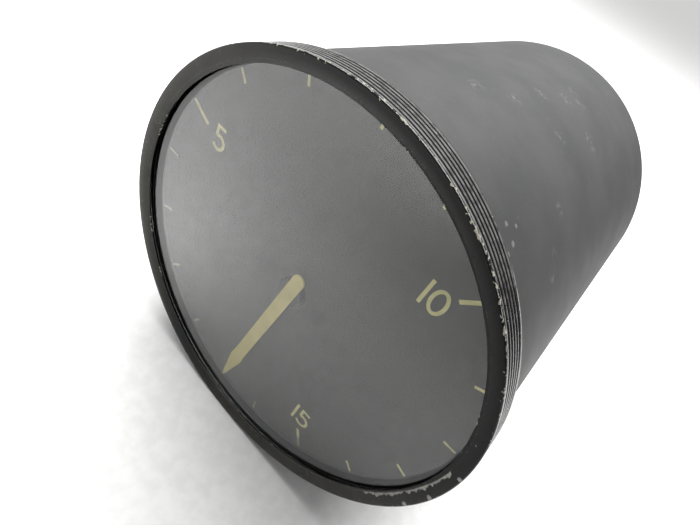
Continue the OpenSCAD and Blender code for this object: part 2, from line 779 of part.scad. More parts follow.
module pot_terminals() color("#c8c2a8") stand_up()
    around(wiper_r, [for (k = [-1:1]) motor_angle + 180 + k * terminal_spread])
        rod(terminal_r, z_pot_end - pot_wall - terminal_len, z_pot_end - pot_wall);

module pot_screws() color("#a9a9a4") stand_up() translate([0, 0, z_rear])
    around(pot_screw_r, pot_screw_angles) flat_screw(screw_d, plate_t + pot_wall - end_play / 2);

// Terminal board between the posts, which carries the trimmers and the wiring lugs
module terminal_board() color("#6b4a2a") stand_up() difference() {
    rod(plate_r, z_board_back, z_board);
    around(post_r, post_angles) rod(tie_d / 2 + slip, z_board_back - cut, z_board + cut);
    around(trimmer_offset, trimmer_angles) rod(boss_r + slip, z_board_back - cut, z_board + cut);
    around(plate_r, [wire_angle]) rod(board_notch_r, z_board_back - cut, z_board + cut);
    rod(board_hole_r, z_board_back - cut, z_board + cut);
}

module turret_lugs() color("#cfc8ae") stand_up()
    around(lug_circle_r, [for (k = [0:lug_count - 1]) 360 / lug_count * (k + 0.5)])
        rotate_extrude() translate([0, z_board]) polygon([
            [0, 0], [lug_r, 0], [lug_r, lug_lip_t], [lug_neck_r, lug_lip_t],
            [lug_neck_r, lug_len - lug_lip_t], [lug_r, lug_len - lug_lip_t], [lug_r, lug_len], [0, lug_len]
        ]);

module inner_posts() color("#b3b5b4") stand_up() around(post_r, post_angles)
    tube(post_d / 2, tie_d / 2 + slip, z_board, z_rear_back);

module outer_posts() color("#b3b5b4") stand_up() around(post_r, post_angles)
    tube(post_d / 2, tie_d / 2 + slip, z_wall_in, z_board_back);

// Long screws that pull the movement against the rear wall
module tie_screws() color("#77797a") stand_up() translate([0, 0, z_wall])
    around(post_r, post_angles) rotate([180, 0, 0])
        cheese_screw(tie_d, z_rear - z_wall - end_play);

// Trimmers for the empty and full ends of the scale, with adjusters that reach the outside
module trimmer() difference() {
    union() {
        rod(trimmer_d / 2, z_board_back - trimmer_len, z_board_back);
        rod(boss_r, z_board_back, z_board);
    }
    rod(adjuster_d / 2 + run, z_board_back - trimmer_len - cut,
        z_board_back - trimmer_len + adjuster_grip + end_play);
}

module adjuster() difference() {
    z_end = z_wall - gland_flange_t - adjuster_proud;
    union() {
        rod(adjuster_d / 2, z_end, z_board_back - trimmer_len + adjuster_grip);
        rod(gland_r, z_wall_in + end_play, z_wall_in + end_play + collar_t);
    }
    translate([0, 0, z_end])
        cube([adjuster_d + cut, adjuster_slot_w, 2 * adjuster_slot_depth], center = true);
}

module empty_trimmer() color("#31537a") stand_up() around(trimmer_offset, [trimmer_angles[1]]) trimmer();

module full_trimmer() color("#31537a") stand_up() around(trimmer_offset, [trimmer_angles[0]]) trimmer();

module empty_adjuster() color("#c0aa62") stand_up() around(trimmer_offset, [trimmer_angles[1]]) adjuster();

module full_adjuster() color("#c0aa62") stand_up() around(trimmer_offset, [trimmer_angles[0]]) adjuster();

module adjuster_glands() color("#8b8d8c") stand_up() around(trimmer_offset, trimmer_angles) difference() {
    union() {
        rod(gland_r, z_wall, z_wall_in);
        rod(gland_flange_r, z_wall - gland_flange_t, z_wall);
    }
    rod(adjuster_d / 2 + run, z_wall - gland_flange_t - cut, z_wall_in + cut);
}

// Receptacle: square flange and threaded barrel, with contacts in a moulded insert
module flange_screw_places() {
    for (x = [-1, 1], y = [-1, 1]) translate([x, y] * flange_pitch / 2) children();
}

module receptacle_shell() color("#8a8f86") stand_up() difference() {
    union() {
        translate([0, 0, z_flange_out]) linear_extrude(flange_t) rounded_square(flange_w, flange_corner_r);
        rod(barrel_d / 2, z_barrel, z_flange_out);
        rod(shank_d / 2, z_flange, z_shank);
    }
    rod(barrel_bore / 2, z_barrel - cut, z_shank + cut);
    flange_screw_places() rod(flange_screw_d / 2 + slip, z_flange_out - cut, z_flange + cut);
    translate([-key_w / 2, 0, z_barrel - cut])
        cube([key_w, barrel_bore / 2 + key_depth, z_insert - z_barrel + cut]);
}

module contact_places() {
    around(contact_circle_d / 2, [for (k = [0:contact_count - 1]) 360 / contact_count * (k + 0.5)])
        children();
}

module receptacle_insert() color("#3c2a1e") stand_up() difference() {
    rod(barrel_bore / 2 - slip, z_insert, z_shank);
    contact_places() rod(contact_d / 2 + slip, z_insert - cut, z_shank + cut);
}

// A pin with a round nose, and a solder cup behind the insert
module contact_pins() color("#d5c07a") stand_up() contact_places() difference() {
    union() {
        rod(contact_d / 2, z_insert - pin_stand, z_shank);
        translate([0, 0, z_insert - pin_stand]) sphere(d = contact_d);
        rod(cup_r, z_shank, z_shank + cup_len);
    }
    rod(cup_r - cup_wall, z_shank + cup_len / 3, z_shank + cup_len + cut);
}

module receptacle_gasket() color("#2a2a2a") stand_up() difference() {
    translate([0, 0, z_flange]) linear_extrude(flange_gasket_t) rounded_square(flange_w, flange_corner_r);
    rod(shank_d / 2 + slip, z_flange - cut, z_wall + cut);
    flange_screw_places() rod(flange_screw_d / 2 + slip, z_flange - cut, z_wall + cut);
}

module receptacle_screws() color("#9a9c99") stand_up() translate([0, 0, z_flange_out])
    flange_screw_places() rotate([180, 0, 0])
        cheese_screw(flange_screw_d, flange_t + flange_gasket_t + rear_wall + nut_h);

module receptacle_nuts() color("#9a9c99") stand_up() flange_screw_places() difference() {
    translate([0, 0, z_wall_in]) cylinder(d = nut_w / cos(30), h = nut_h, $fn = 6);
    rod(flange_screw_d / 2 + slip, z_wall_in - cut, z_wall_in + nut_h + cut);
}

case_shell();
bezel_ring();
cover_glass();
glass_gasket();
dial_plate();
dial_screws();
pointer();
pointer_hub();
pointer_shaft();
front_plate();
rear_plate();
frame_pillars();
front_plate_screws();
rear_plate_screws();
front_bush();
rear_bush();
arbor_bushes();
stop_post();
output_gear();
stop_pin();
second_arbor();
second_gear();
first_arbor();
first_gear();
motor_housing();
motor_stator();
motor_end_cap();
motor_bearings();
motor_rotor();
motor_shaft();
motor_pinion();
motor_screws();
pot_housing();
pot_winding();
pot_wiper();
pot_cover();
pot_terminals();
pot_screws();
terminal_board();
turret_lugs();
inner_posts();
outer_posts();
tie_screws();
empty_trimmer();
full_trimmer();
empty_adjuster();
full_adjuster();
adjuster_glands();
receptacle_shell();
receptacle_insert();
contact_pins();
receptacle_gasket();
receptacle_screws();
receptacle_nuts();
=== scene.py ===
from math import atan2, cos, pi, radians, sin, tan

import bmesh
import bpy
from mathutils import Matrix, Vector


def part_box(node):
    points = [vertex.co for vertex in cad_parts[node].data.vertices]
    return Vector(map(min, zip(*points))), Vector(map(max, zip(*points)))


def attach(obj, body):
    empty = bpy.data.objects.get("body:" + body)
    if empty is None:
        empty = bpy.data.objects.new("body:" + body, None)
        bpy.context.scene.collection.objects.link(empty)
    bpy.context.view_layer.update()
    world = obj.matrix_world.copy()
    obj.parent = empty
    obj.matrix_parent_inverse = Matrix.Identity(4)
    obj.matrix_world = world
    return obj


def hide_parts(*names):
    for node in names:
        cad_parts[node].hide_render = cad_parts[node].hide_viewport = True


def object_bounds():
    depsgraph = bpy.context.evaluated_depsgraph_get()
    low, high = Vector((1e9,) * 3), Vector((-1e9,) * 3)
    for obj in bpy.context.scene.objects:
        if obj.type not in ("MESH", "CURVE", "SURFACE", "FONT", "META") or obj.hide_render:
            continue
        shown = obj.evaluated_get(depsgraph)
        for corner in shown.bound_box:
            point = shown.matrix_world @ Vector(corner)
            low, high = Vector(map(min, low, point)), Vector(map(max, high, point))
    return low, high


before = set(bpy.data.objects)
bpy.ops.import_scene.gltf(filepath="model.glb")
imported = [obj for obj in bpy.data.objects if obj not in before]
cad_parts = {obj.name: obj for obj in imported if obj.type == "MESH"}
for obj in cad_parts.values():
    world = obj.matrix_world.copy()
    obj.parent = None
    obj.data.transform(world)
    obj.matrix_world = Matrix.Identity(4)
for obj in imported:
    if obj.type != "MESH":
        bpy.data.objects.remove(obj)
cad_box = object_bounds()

# Camera: a wide lens held close, above the right of the dial and looking down at it.
# It is rolled, so the dial's up points to the upper right of the picture.
mm = 0.001
lens_mm = 24.7
sensor_mm = 36
camera_at = Vector((16.2, -34.71, 41.09)) * mm
camera_look = Vector((-0.2539, 0.7103, -0.6565))
camera_up = Vector((-0.6891, 0.3434, 0.6381))
camera_data = bpy.data.cameras.new("camera")
camera_data.lens = lens_mm
camera_data.sensor_width = sensor_mm
camera_data.clip_start = 2 * mm
camera_data.clip_end = 40
camera = bpy.data.objects.new("camera", camera_data)
camera_axes = Matrix((camera_look.cross(camera_up), camera_up, -camera_look)).transposed()
camera.matrix_world = Matrix.Translation(camera_at) @ camera_axes.to_4x4()
bpy.context.collection.objects.link(camera)
bpy.context.scene.camera = camera

# Floor: a plain white sheet of card under the gauge, with the faint tooth of uncoated paper.
# The gauge lies on it, on the rim of its bezel.
floor_half = 6.0
floor_z = cad_box[0].z
card_colour = (0.86, 0.855, 0.85)
card_hollow, card_crest = (0.82, 0.815, 0.81), (0.88, 0.878, 0.875)


def put(tree, socket, value):
    """Links a node's output to a socket, or sets the socket's own value."""
    if isinstance(value, bpy.types.NodeSocket):
        tree.links.new(value, socket)
    else:
        socket.default_value = value


def node(tree, kind, **values):
    """A shader node with its inputs set by their names."""
    made = tree.nodes.new("ShaderNode" + kind)
    for name, value in values.items():
        put(tree, made.inputs[name.replace("_", " ")], value)
    return made


def new_finish(name, colour, roughness, metallic=0.0):
    """A material: its node tree, its shader and the place of each point on the gauge."""
    finish = bpy.data.materials.new(name)
    finish.use_nodes = True
    tree = finish.node_tree
    shader = tree.nodes["Principled BSDF"]
    shader.inputs["Base Color"].default_value = (*colour, 1)
    shader.inputs["Roughness"].default_value = roughness
    shader.inputs["Metallic"].default_value = metallic
    finish.diffuse_color = (*colour, 1)
    return finish, tree, shader, node(tree, "TexCoord").outputs["Object"]


def grain(tree, place, size, detail=3.0, distortion=0.0):
    """Soft random patches of about one size, from 0 to 1."""
    noise = node(tree, "TexNoise", Vector=place, Scale=1 / size, Detail=detail, Distortion=distortion)
    return noise.outputs["Fac"]


def ramp(tree, value, low, high, to_low=0.0, to_high=1.0):
    """Follows a value from low to high, smoothly, and holds at both ends."""
    made = node(tree, "MapRange", Value=value, From_Min=low, From_Max=high, To_Min=to_low, To_Max=to_high)
    made.interpolation_type = "SMOOTHSTEP"
    return made.outputs["Result"]


def mixed(tree, share, first, second):
    """One colour laid over another by a share from 0 to 1."""
    made = tree.nodes.new("ShaderNodeMix")
    made.data_type = "RGBA"
    share_socket, first_socket, second_socket = made.inputs[0], made.inputs[6], made.inputs[7]
    for socket, value in ((share_socket, share), (first_socket, first), (second_socket, second)):
        put(tree, socket, value if isinstance(value, (float, bpy.types.NodeSocket)) else (*value, 1))
    return made.outputs[2]


def roughen(tree, shader, height, depth, strength=1.0):
    """Small relief that the shader shades as if it stood up by a depth."""
    relief = node(tree, "Bump", Height=height, Distance=depth, Strength=strength)
    tree.links.new(relief.outputs["Normal"], shader.inputs["Normal"])


card, tree, shader, place = new_finish("white_card", card_colour, 0.85)
tooth = grain(tree, place, 1.6 * mm, detail=4.0)
put(tree, shader.inputs["Base Color"], mixed(tree, ramp(tree, tooth, 0.3, 0.7), card_hollow, card_crest))
roughen(tree, shader, tooth, 0.1 * mm, 0.5)
floor_mesh = bpy.data.meshes.new("floor")
floor_corners = [(x * floor_half, y * floor_half, floor_z) for x, y in ((-1, -1), (1, -1), (1, 1), (-1, 1))]
floor_mesh.from_pydata(floor_corners, [], [(0, 1, 2, 3)])
floor_mesh.materials.append(card)
floor = bpy.data.objects.new("floor", floor_mesh)
bpy.context.collection.objects.link(floor)

# Studio light: a pale surround that is dimmer on the right, and one large soft light overhead
# and a little behind. Bare tones are kept, with no film curve over them.
bright_toward = (-0.7, 0.0, 0.7)
dim, bright = 0.25, 0.8
key_at, key_size, key_power = (-0.06, 0.09, 0.46), 0.4, 5.8
surround = bpy.data.worlds.new("surround")
surround.use_nodes = True
tree = surround.node_tree
bright_side = tree.nodes.new("ShaderNodeVectorMath")
bright_side.operation = "DOT_PRODUCT"
put(tree, bright_side.inputs[0], node(tree, "TexCoord").outputs["Generated"])
put(tree, bright_side.inputs[1], bright_toward)
put(tree, tree.nodes["Background"].inputs["Color"], (1, 1, 1, 1))
strength = ramp(tree, bright_side.outputs["Value"], -0.6, 0.4, dim, bright)
put(tree, tree.nodes["Background"].inputs["Strength"], strength)
bpy.context.scene.world = surround
bpy.context.scene.view_settings.view_transform = "Standard"


def soft_light(name, at, size, power):
    """A square soft light aimed at the gauge."""
    data = bpy.data.lights.new(name, "AREA")
    data.size = size
    data.energy = power
    lamp = bpy.data.objects.new(name, data)
    lamp.location = at
    lamp.rotation_euler = (-Vector(at)).to_track_quat("-Z", "Y").to_euler()
    bpy.context.collection.objects.link(lamp)


soft_light("key_light", key_at, key_size, key_power)

# Flags: two black cards that no view shows. A small one, where the photographer's camera stands,
# keeps light off the floor before the dial. A long one stands at the right, out of the picture,
# and shows only in the gloss, as the dark side of the case.
flag_left, flag_right = -50 * mm, 60 * mm
flag_low, flag_top = -62 * mm, 44 * mm
flag_back = 6 * mm
dark_side_x = 0.2
dark_side_y = (0.05, 0.6)
dark_side_h = 0.14
flag_black, tree, shader, place = new_finish("flag_black", (0.012, 0.012, 0.012), 0.9)
felt = ramp(tree, grain(tree, place, 0.8 * mm, detail=4.0), 0.3, 0.7)
put(tree, shader.inputs["Base Color"], mixed(tree, felt, (0.008, 0.008, 0.008), (0.016, 0.016, 0.016)))
camera_flag = [camera.matrix_world @ Vector((x, y, flag_back)) for x, y in (
    (flag_left, flag_low), (flag_right, flag_low), (flag_right, flag_top), (flag_left, flag_top))]
near_y, far_y = dark_side_y
dark_side_top = floor_z + dark_side_h
dark_side = [(dark_side_x, y, z) for y, z in (
    (near_y, floor_z), (far_y, floor_z), (far_y, dark_side_top), (near_y, dark_side_top))]
for name, corners, only_in_gloss in (("camera_flag", camera_flag, False), ("dark_side", dark_side, True)):
    flag_mesh = bpy.data.meshes.new(name)
    flag_mesh.from_pydata(corners, [], [(0, 1, 2, 3)])
    flag_mesh.materials.append(flag_black)
    flag = bpy.data.objects.new(name, flag_mesh)
    bpy.context.collection.objects.link(flag)
    flag.visible_camera = False
    flag.visible_transmission = False
    flag.visible_glossy = only_in_gloss
    flag.visible_diffuse = not only_in_gloss
    flag.visible_shadow = not only_in_gloss

# Movement plates, pillars and gears: brass, turned and milled, lightly tarnished.
# They are screwed and pressed together before the movement goes into the case.
brass_colour = (0.72, 0.52, 0.22)
tarnish_colour = (0.42, 0.29, 0.13)
brass, tree, shader, place = new_finish("turned_brass", brass_colour, 0.32, 1.0)
tarnish = ramp(tree, grain(tree, place, 3 * mm, detail=5.0), 0.45, 0.7)
put(tree, shader.inputs["Base Color"], mixed(tree, tarnish, brass_colour, tarnish_colour))
put(tree, shader.inputs["Roughness"], ramp(tree, grain(tree, place, 0.4 * mm), 0.3, 0.7, 0.25, 0.42))
roughen(tree, shader, grain(tree, place, 0.12 * mm), 0.01 * mm, 0.6)


def paint_nodes(finish, *names):
    """Gives CAD nodes a finish."""
    for name in names:
        for material_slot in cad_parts[name].material_slots:
            material_slot.material = finish


paint_nodes(
    brass, "front_plate", "rear_plate", "frame_pillars", "rear_bush", "arbor_bushes",
    "output_gear", "second_gear", "first_gear", "pot_wiper",
)

# Shafts, arbors, stops, bearings and small screws: steel, turned and ground bright.
# The arbors are cut in one piece with their pinions.
steel_colour = (0.56, 0.56, 0.55)
steel, tree, shader, place = new_finish("bright_steel", steel_colour, 0.3, 1.0)
stain = ramp(tree, grain(tree, place, 1.5 * mm, detail=5.0), 0.5, 0.75)
put(tree, shader.inputs["Base Color"], mixed(tree, stain, steel_colour, (0.33, 0.32, 0.3)))
put(tree, shader.inputs["Roughness"], ramp(tree, grain(tree, place, 0.25 * mm), 0.3, 0.7, 0.22, 0.45))
roughen(tree, shader, grain(tree, place, 0.1 * mm), 0.008 * mm, 0.5)
paint_nodes(
    steel, "pointer_shaft", "second_arbor", "first_arbor", "stop_post", "stop_pin",
    "motor_shaft", "motor_pinion", "motor_rotor", "motor_stator", "motor_bearings",
    "front_plate_screws", "rear_plate_screws", "motor_screws", "pot_screws", "receptacle_nuts",
)

# Motor housing, end cap and posts: aluminium, turned from bar and left bare.
# Screws through the rear plate hold the motor, and the tie screws run through the posts.
aluminium_colour = (0.66, 0.66, 0.65)
aluminium, tree, shader, place = new_finish("bare_aluminium", aluminium_colour, 0.4, 1.0)
bloom = ramp(tree, grain(tree, place, 2 * mm, detail=5.0), 0.45, 0.75)
put(tree, shader.inputs["Base Color"], mixed(tree, bloom, aluminium_colour, (0.48, 0.48, 0.46)))
put(tree, shader.inputs["Roughness"], ramp(tree, grain(tree, place, 0.3 * mm), 0.3, 0.7, 0.34, 0.55))
roughen(tree, shader, grain(tree, place, 0.15 * mm), 0.01 * mm, 0.6)
paint_nodes(aluminium, "motor_housing", "motor_end_cap", "inner_posts", "outer_posts", "adjuster_glands")

# Potentiometer cup and cover, terminal board and the receptacle's insert: brown phenolic,
# pressed in moulds. The mottle comes from the wood filler in the resin.
phenolic_colour = (0.075, 0.036, 0.018)
phenolic, tree, shader, place = new_finish("brown_phenolic", phenolic_colour, 0.42)
mottle = ramp(tree, grain(tree, place, 0.9 * mm, detail=6.0, distortion=1.0), 0.42, 0.62)
put(tree, shader.inputs["Base Color"], mixed(tree, mottle, phenolic_colour, (0.028, 0.014, 0.009)))
put(tree, shader.inputs["Roughness"], ramp(tree, mottle, 0.0, 1.0, 0.36, 0.5))
roughen(tree, shader, grain(tree, place, 0.2 * mm), 0.01 * mm, 0.5)
paint_nodes(phenolic, "pot_housing", "pot_cover", "terminal_board", "receptacle_insert")

# Resistance winding: fine bare wire wound side by side on a card, bent into the potentiometer's ring.
# Each turn shows as a thin rib across the ring, with painted shade darkening the gaps between turns.
turn_count = 420.0
wire_gap_painted_shade, wire_crest = (0.2, 0.11, 0.06), (0.58, 0.36, 0.2)
wire, tree, shader, place = new_finish("resistance_wire", (0.5, 0.3, 0.16), 0.35, 1.0)


def figure(tree, operation, *values):
    """One step of arithmetic on node values."""
    made = tree.nodes.new("ShaderNodeMath")
    made.operation = operation
    for socket, value in zip(made.inputs, values):
        put(tree, socket, value)
    return made.outputs["Value"]


def times(tree, *values):
    """The product of several node values."""
    product = values[0]
    for value in values[1:]:
        product = figure(tree, "MULTIPLY", product, value)
    return product


def polar(tree, place):
    """Distance from the axis, angle round it from the dial's right, and depth behind the panel seat."""
    axes = node(tree, "SeparateXYZ", Vector=place).outputs
    across = node(tree, "CombineXYZ", X=axes["X"], Y=axes["Z"], Z=0.0).outputs["Vector"]
    length = tree.nodes.new("ShaderNodeVectorMath")
    length.operation = "LENGTH"
    tree.links.new(across, length.inputs[0])
    return length.outputs["Value"], figure(tree, "ARCTAN2", axes["Z"], axes["X"]), axes["Y"]


radius, angle, depth = polar(tree, place)
turns = figure(tree, "SINE", times(tree, angle, turn_count))
put(tree, shader.inputs["Base Color"], mixed(tree, ramp(tree, turns, -1.0, 1.0), wire_gap_painted_shade, wire_crest))
roughen(tree, shader, turns, 0.05 * mm)
paint_nodes(wire, "pot_winding")

# Trimmers: blue moulded bodies that hold the fine adjustments for the two ends of the scale.
# They sit on the terminal board, and their adjusters reach out through the back.
trimmer_blue, tree, shader, place = new_finish("blue_moulding", (0.025, 0.075, 0.18), 0.4)
cloud = ramp(tree, grain(tree, place, 1.2 * mm, detail=4.0), 0.35, 0.65)
put(tree, shader.inputs["Base Color"], mixed(tree, cloud, (0.02, 0.06, 0.15), (0.032, 0.09, 0.2)))
roughen(tree, shader, grain(tree, place, 0.15 * mm), 0.01 * mm, 0.6)
paint_nodes(trimmer_blue, "empty_trimmer", "full_trimmer")

# Solder lugs, terminals and contacts: brass with a thin gold wash, dulled by handling.
# The contacts stand in the insert, and the lugs are swaged into the board.
gold, tree, shader, place = new_finish("gold_wash", (0.74, 0.58, 0.28), 0.28, 1.0)
worn = ramp(tree, grain(tree, place, 0.6 * mm, detail=4.0), 0.5, 0.72)
put(tree, shader.inputs["Base Color"], mixed(tree, worn, (0.74, 0.58, 0.28), (0.5, 0.42, 0.28)))
put(tree, shader.inputs["Roughness"], ramp(tree, worn, 0.0, 1.0, 0.24, 0.42))
paint_nodes(gold, "pot_terminals", "turret_lugs", "contact_pins")

# Case: a drawn cup with a thin wall and a round rear corner, sprayed in dark grey semi-matte paint.
# The front is stepped down to a spigot that the bezel fits over, and the rear wall takes the receptacle.
case_low, case_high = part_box("case_shell")
case_r = case_high.x
case_rim = case_low.y
case_rear = case_high.y
case_wall = 0.8 * mm
case_corner = 1.6 * mm
inner_corner = 0.5 * mm
rear_wall = 1.2 * mm
spigot_step = 0.3 * mm
spigot_ease = 0.1 * mm
shank_hole_r = 9.05 * mm
paint_colour = (0.04, 0.0404, 0.0406)
paint_dark, paint_pale = (0.034, 0.0345, 0.0345), (0.045, 0.0454, 0.045)
rub_colour = (0.15, 0.15, 0.146)
# Places of the rubbed spots: degrees round the axis, depth behind the panel seat in mm, and radius in mm
rubs = ((42, 10.7, 1.4), (55, 15.4, 1.2), (47, 11.8, 1.1), (79, 34, 1.9), (76, 38, 1.6), (83, 28, 1.7),
        (84, 20, 1.7), (91, 15, 1.9), (81, 39, 1.5), (65, 33, 2.0), (70, 24, 1.5))
# Places of the nicks beside the bezel, in the same way
nicks_by_bezel = ((60, 3, 0.5), (56, 3, 0.5), (57.8, 0.9, 0.45), (55, 1.6, 0.4), (58.6, 4.6, 0.35))


def rounded(corners, steps=5):
    """A closed outline whose (x, y, radius) corners are rounded by arcs."""
    outline = []
    for i, (x, y, radius) in enumerate(corners):
        here = Vector((x, y))
        if not radius:
            outline.append((x, y))
            continue
        back = (Vector(corners[i - 1][:2]) - here).normalized()
        onward = (Vector(corners[(i + 1) % len(corners)][:2]) - here).normalized()
        half = back.angle(onward) / 2
        centre = here + (back + onward).normalized() * (radius / sin(half))
        first = here + back * (radius / tan(half)) - centre
        last = here + onward * (radius / tan(half)) - centre
        start = atan2(first.y, first.x)
        sweep = (atan2(last.y, last.x) - start + pi) % (2 * pi) - pi
        for k in range(steps + 1):
            a = start + sweep * k / steps
            outline.append((centre.x + radius * cos(a), centre.y + radius * sin(a)))
    return outline


def finished(name, shape, finish, crease=30):
    """An object from a closed bmesh: doubles merged, faces outwards, smooth but for creases over an angle.

    Large faces keep their own direction, and the small arcs between them take the bend."""
    bmesh.ops.remove_doubles(shape, verts=shape.verts, dist=1e-7)
    bmesh.ops.dissolve_degenerate(shape, edges=shape.edges, dist=1e-8)
    bmesh.ops.recalc_face_normals(shape, faces=shape.faces)
    mesh = bpy.data.meshes.new(name)
    shape.to_mesh(mesh)
    shape.free()
    for face in mesh.polygons:
        face.use_smooth = True
    mesh.set_sharp_from_angle(angle=radians(crease))
    mesh.materials.append(finish)
    made = bpy.data.objects.new(name, mesh)
    bpy.context.collection.objects.link(made)
    even = made.modifiers.new("even_shading", "WEIGHTED_NORMAL")
    even.keep_sharp = True
    shaded = bpy.data.meshes.new_from_object(made.evaluated_get(bpy.context.evaluated_depsgraph_get()))
    made.modifiers.remove(even)
    made.data = shaded
    shaded.name = name
    return made


def turned(name, outline_at, finish, sides=256, crease=30):
    """A closed ring round the gauge's axis. outline_at gives the (radius, depth) outline at an angle."""
    shape = bmesh.new()
    rings = []
    for k in range(sides):
        a = 2 * pi * k / sides
        rings.append([shape.verts.new((r * cos(a), y, r * sin(a))) for r, y in outline_at(a)])
    for here, onward in zip(rings, rings[1:] + rings[:1]):
        for i in range(len(here)):
            shape.faces.new((here[i - 1], here[i], onward[i], onward[i - 1]))
    return finished(name, shape, finish, crease)


case_inner = case_r - case_wall
spigot_r = case_r - spigot_step
case_outline = rounded([
    (case_inner, case_rim, 0), (spigot_r, case_rim, spigot_ease), (spigot_r, -spigot_step, 0), (case_r, 0, 0),
    (case_r, case_rear, case_corner), (shank_hole_r, case_rear, 0),
    (shank_hole_r, case_rear - rear_wall, 0), (case_inner, case_rear - rear_wall, inner_corner),
], steps=8)
case_paint, tree, shader, place = new_finish("case_paint", paint_colour, 0.63)
shader.inputs["Specular IOR Level"].default_value = 0.4
patchy = ramp(tree, grain(tree, place, 7 * mm, detail=7.0), 0.3, 0.7)
colour = mixed(tree, patchy, paint_dark, paint_pale)
speck = ramp(tree, grain(tree, place, 0.35 * mm, detail=2.0), 0.62, 0.72, 0.0, 0.35)
colour = mixed(tree, speck, colour, (0.07, 0.07, 0.068))


def from_point(tree, place, degrees, point_r, back):
    """Distance from a point given by its bearing, its distance from the axis and its depth."""
    a = radians(degrees)
    apart = tree.nodes.new("ShaderNodeVectorMath")
    apart.operation = "DISTANCE"
    put(tree, apart.inputs[0], place)
    put(tree, apart.inputs[1], (point_r * cos(a), back, point_r * sin(a)))
    return apart.outputs["Value"]


def near_spots(tree, place, spots):
    """1 at the middle of each spot on the case's side, falling to 0 at its edge."""
    near = 0.0
    for degrees, back, spot_r in spots:
        off = from_point(tree, place, degrees, case_r, back * mm)
        near = figure(tree, "MAXIMUM", near, ramp(tree, off, 0.0, spot_r * mm, 1.0, 0.0))
    return near


ragged = grain(tree, place, 0.6 * mm, detail=6.0)
rub_share = times(tree, near_spots(tree, place, rubs), ramp(tree, ragged, 0.46, 0.68, 0.0, 0.6))
colour = mixed(tree, rub_share, colour, rub_colour)
knock_share = times(tree, near_spots(tree, place, nicks_by_bezel), ramp(tree, ragged, 0.36, 0.5))
colour = mixed(tree, ramp(tree, knock_share, 0.15, 0.5, 0.0, 0.75), colour, rub_colour)
put(tree, shader.inputs["Base Color"], colour)
gloss = grain(tree, place, 5 * mm, detail=3.0)
put(tree, shader.inputs["Roughness"], ramp(tree, gloss, 0.3, 0.7, 0.58, 0.64))
roughen(tree, shader, grain(tree, place, 0.25 * mm), 0.01 * mm, 0.15)
case = turned("painted_case", lambda a: case_outline, case_paint)
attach(case, "case")
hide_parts("case_shell")

# Receptacle: a die-cast shell with a square flange and a threaded barrel, plated a dull olive grey.
# Four screws through a gasket hold it to the rear wall, and a keyway in the barrel sets the plug.
shell_low, shell_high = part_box("receptacle_shell")
flange_half = shell_high.x
gasket_thickness = 0.5 * mm
flange_thickness = 2 * mm
flange_front = case_rear + gasket_thickness
flange_back = flange_front + flange_thickness
flange_corner = 2 * mm
flange_bevel = 0.25 * mm
barrel_end = shell_high.y
barrel_r = 9.525 * mm
bore_r = 8 * mm
shank_r = 9.025 * mm
insert_face = flange_back + 2 * mm
thread_pitch = 1.27 * mm
thread_depth = 0.62 * mm
thread_steps = 10
thread_run_in = 0.8 * mm
thread_run_out = 0.3 * mm
crest_top, flank_slope = 1.35, 3.4
mouth_bevel = 0.15 * mm
key_half = 0.8 * mm
key_depth = 0.7 * mm


def square_reach(a):
    """Distance from the axis to the edge of a square with round corners, along an angle."""
    across, along = sorted((abs(cos(a)), abs(sin(a))))
    flat = flange_half / along
    centre = flange_half - flange_corner
    if flat * across <= centre:
        return flat
    toward = centre * (across + along)
    return toward + (toward * toward - 2 * centre * centre + flange_corner * flange_corner) ** 0.5


def receptacle_outline(a):
    """The shell's section at an angle: shank, flange, thread, keyed bore."""
    edge = square_reach(a)
    outline = [
        (bore_r, shell_low.y), (shank_r, shell_low.y), (shank_r, flange_front),
        (edge - flange_bevel, flange_front), (edge, flange_front + flange_bevel),
        (edge, flange_back - flange_bevel), (edge - flange_bevel, flange_back),
    ]
    relief_r = barrel_r - thread_depth
    thread_start = flange_back + thread_run_in
    thread_end = barrel_end - thread_run_out
    count = int((thread_end - thread_start) / thread_pitch * thread_steps)
    outline += [(relief_r, flange_back), (relief_r, thread_start)]
    for i in range(1, count):
        y = thread_start + (thread_end - thread_start) * i / count
        turn = ((y - thread_start) / thread_pitch - a / (2 * pi)) % 1
        crest = min(1, max(0, crest_top - abs(turn - 0.5) * flank_slope))
        fade = min(1, (y - thread_start) / thread_pitch, (thread_end - y) / thread_pitch * 2)
        outline.append((relief_r + thread_depth * crest * fade, y))
    keyed = bore_r + (key_depth if sin(a) > 0 and abs(cos(a)) * bore_r < key_half else 0)
    outline += [
        (relief_r, thread_end), (relief_r - mouth_bevel, barrel_end), (keyed + mouth_bevel, barrel_end),
        (keyed, barrel_end - mouth_bevel), (keyed, insert_face), (bore_r, insert_face),
    ]
    return outline


plating, tree, shader, place = new_finish("olive_plating", (0.3, 0.3, 0.25), 0.42, 0.75)
dull = ramp(tree, grain(tree, place, 2.2 * mm, detail=6.0), 0.35, 0.7)
colour = mixed(tree, dull, (0.33, 0.33, 0.27), (0.2, 0.2, 0.165))
bare = ramp(tree, grain(tree, place, 0.5 * mm, detail=4.0), 0.66, 0.74, 0.0, 0.7)
put(tree, shader.inputs["Base Color"], mixed(tree, bare, colour, (0.5, 0.49, 0.45)))
put(tree, shader.inputs["Roughness"], ramp(tree, dull, 0.0, 1.0, 0.38, 0.56))
roughen(tree, shader, grain(tree, place, 0.2 * mm), 0.015 * mm, 0.5)
receptacle = turned("receptacle_body", receptacle_outline, plating, sides=360)
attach(receptacle, "case")
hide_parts("receptacle_shell")

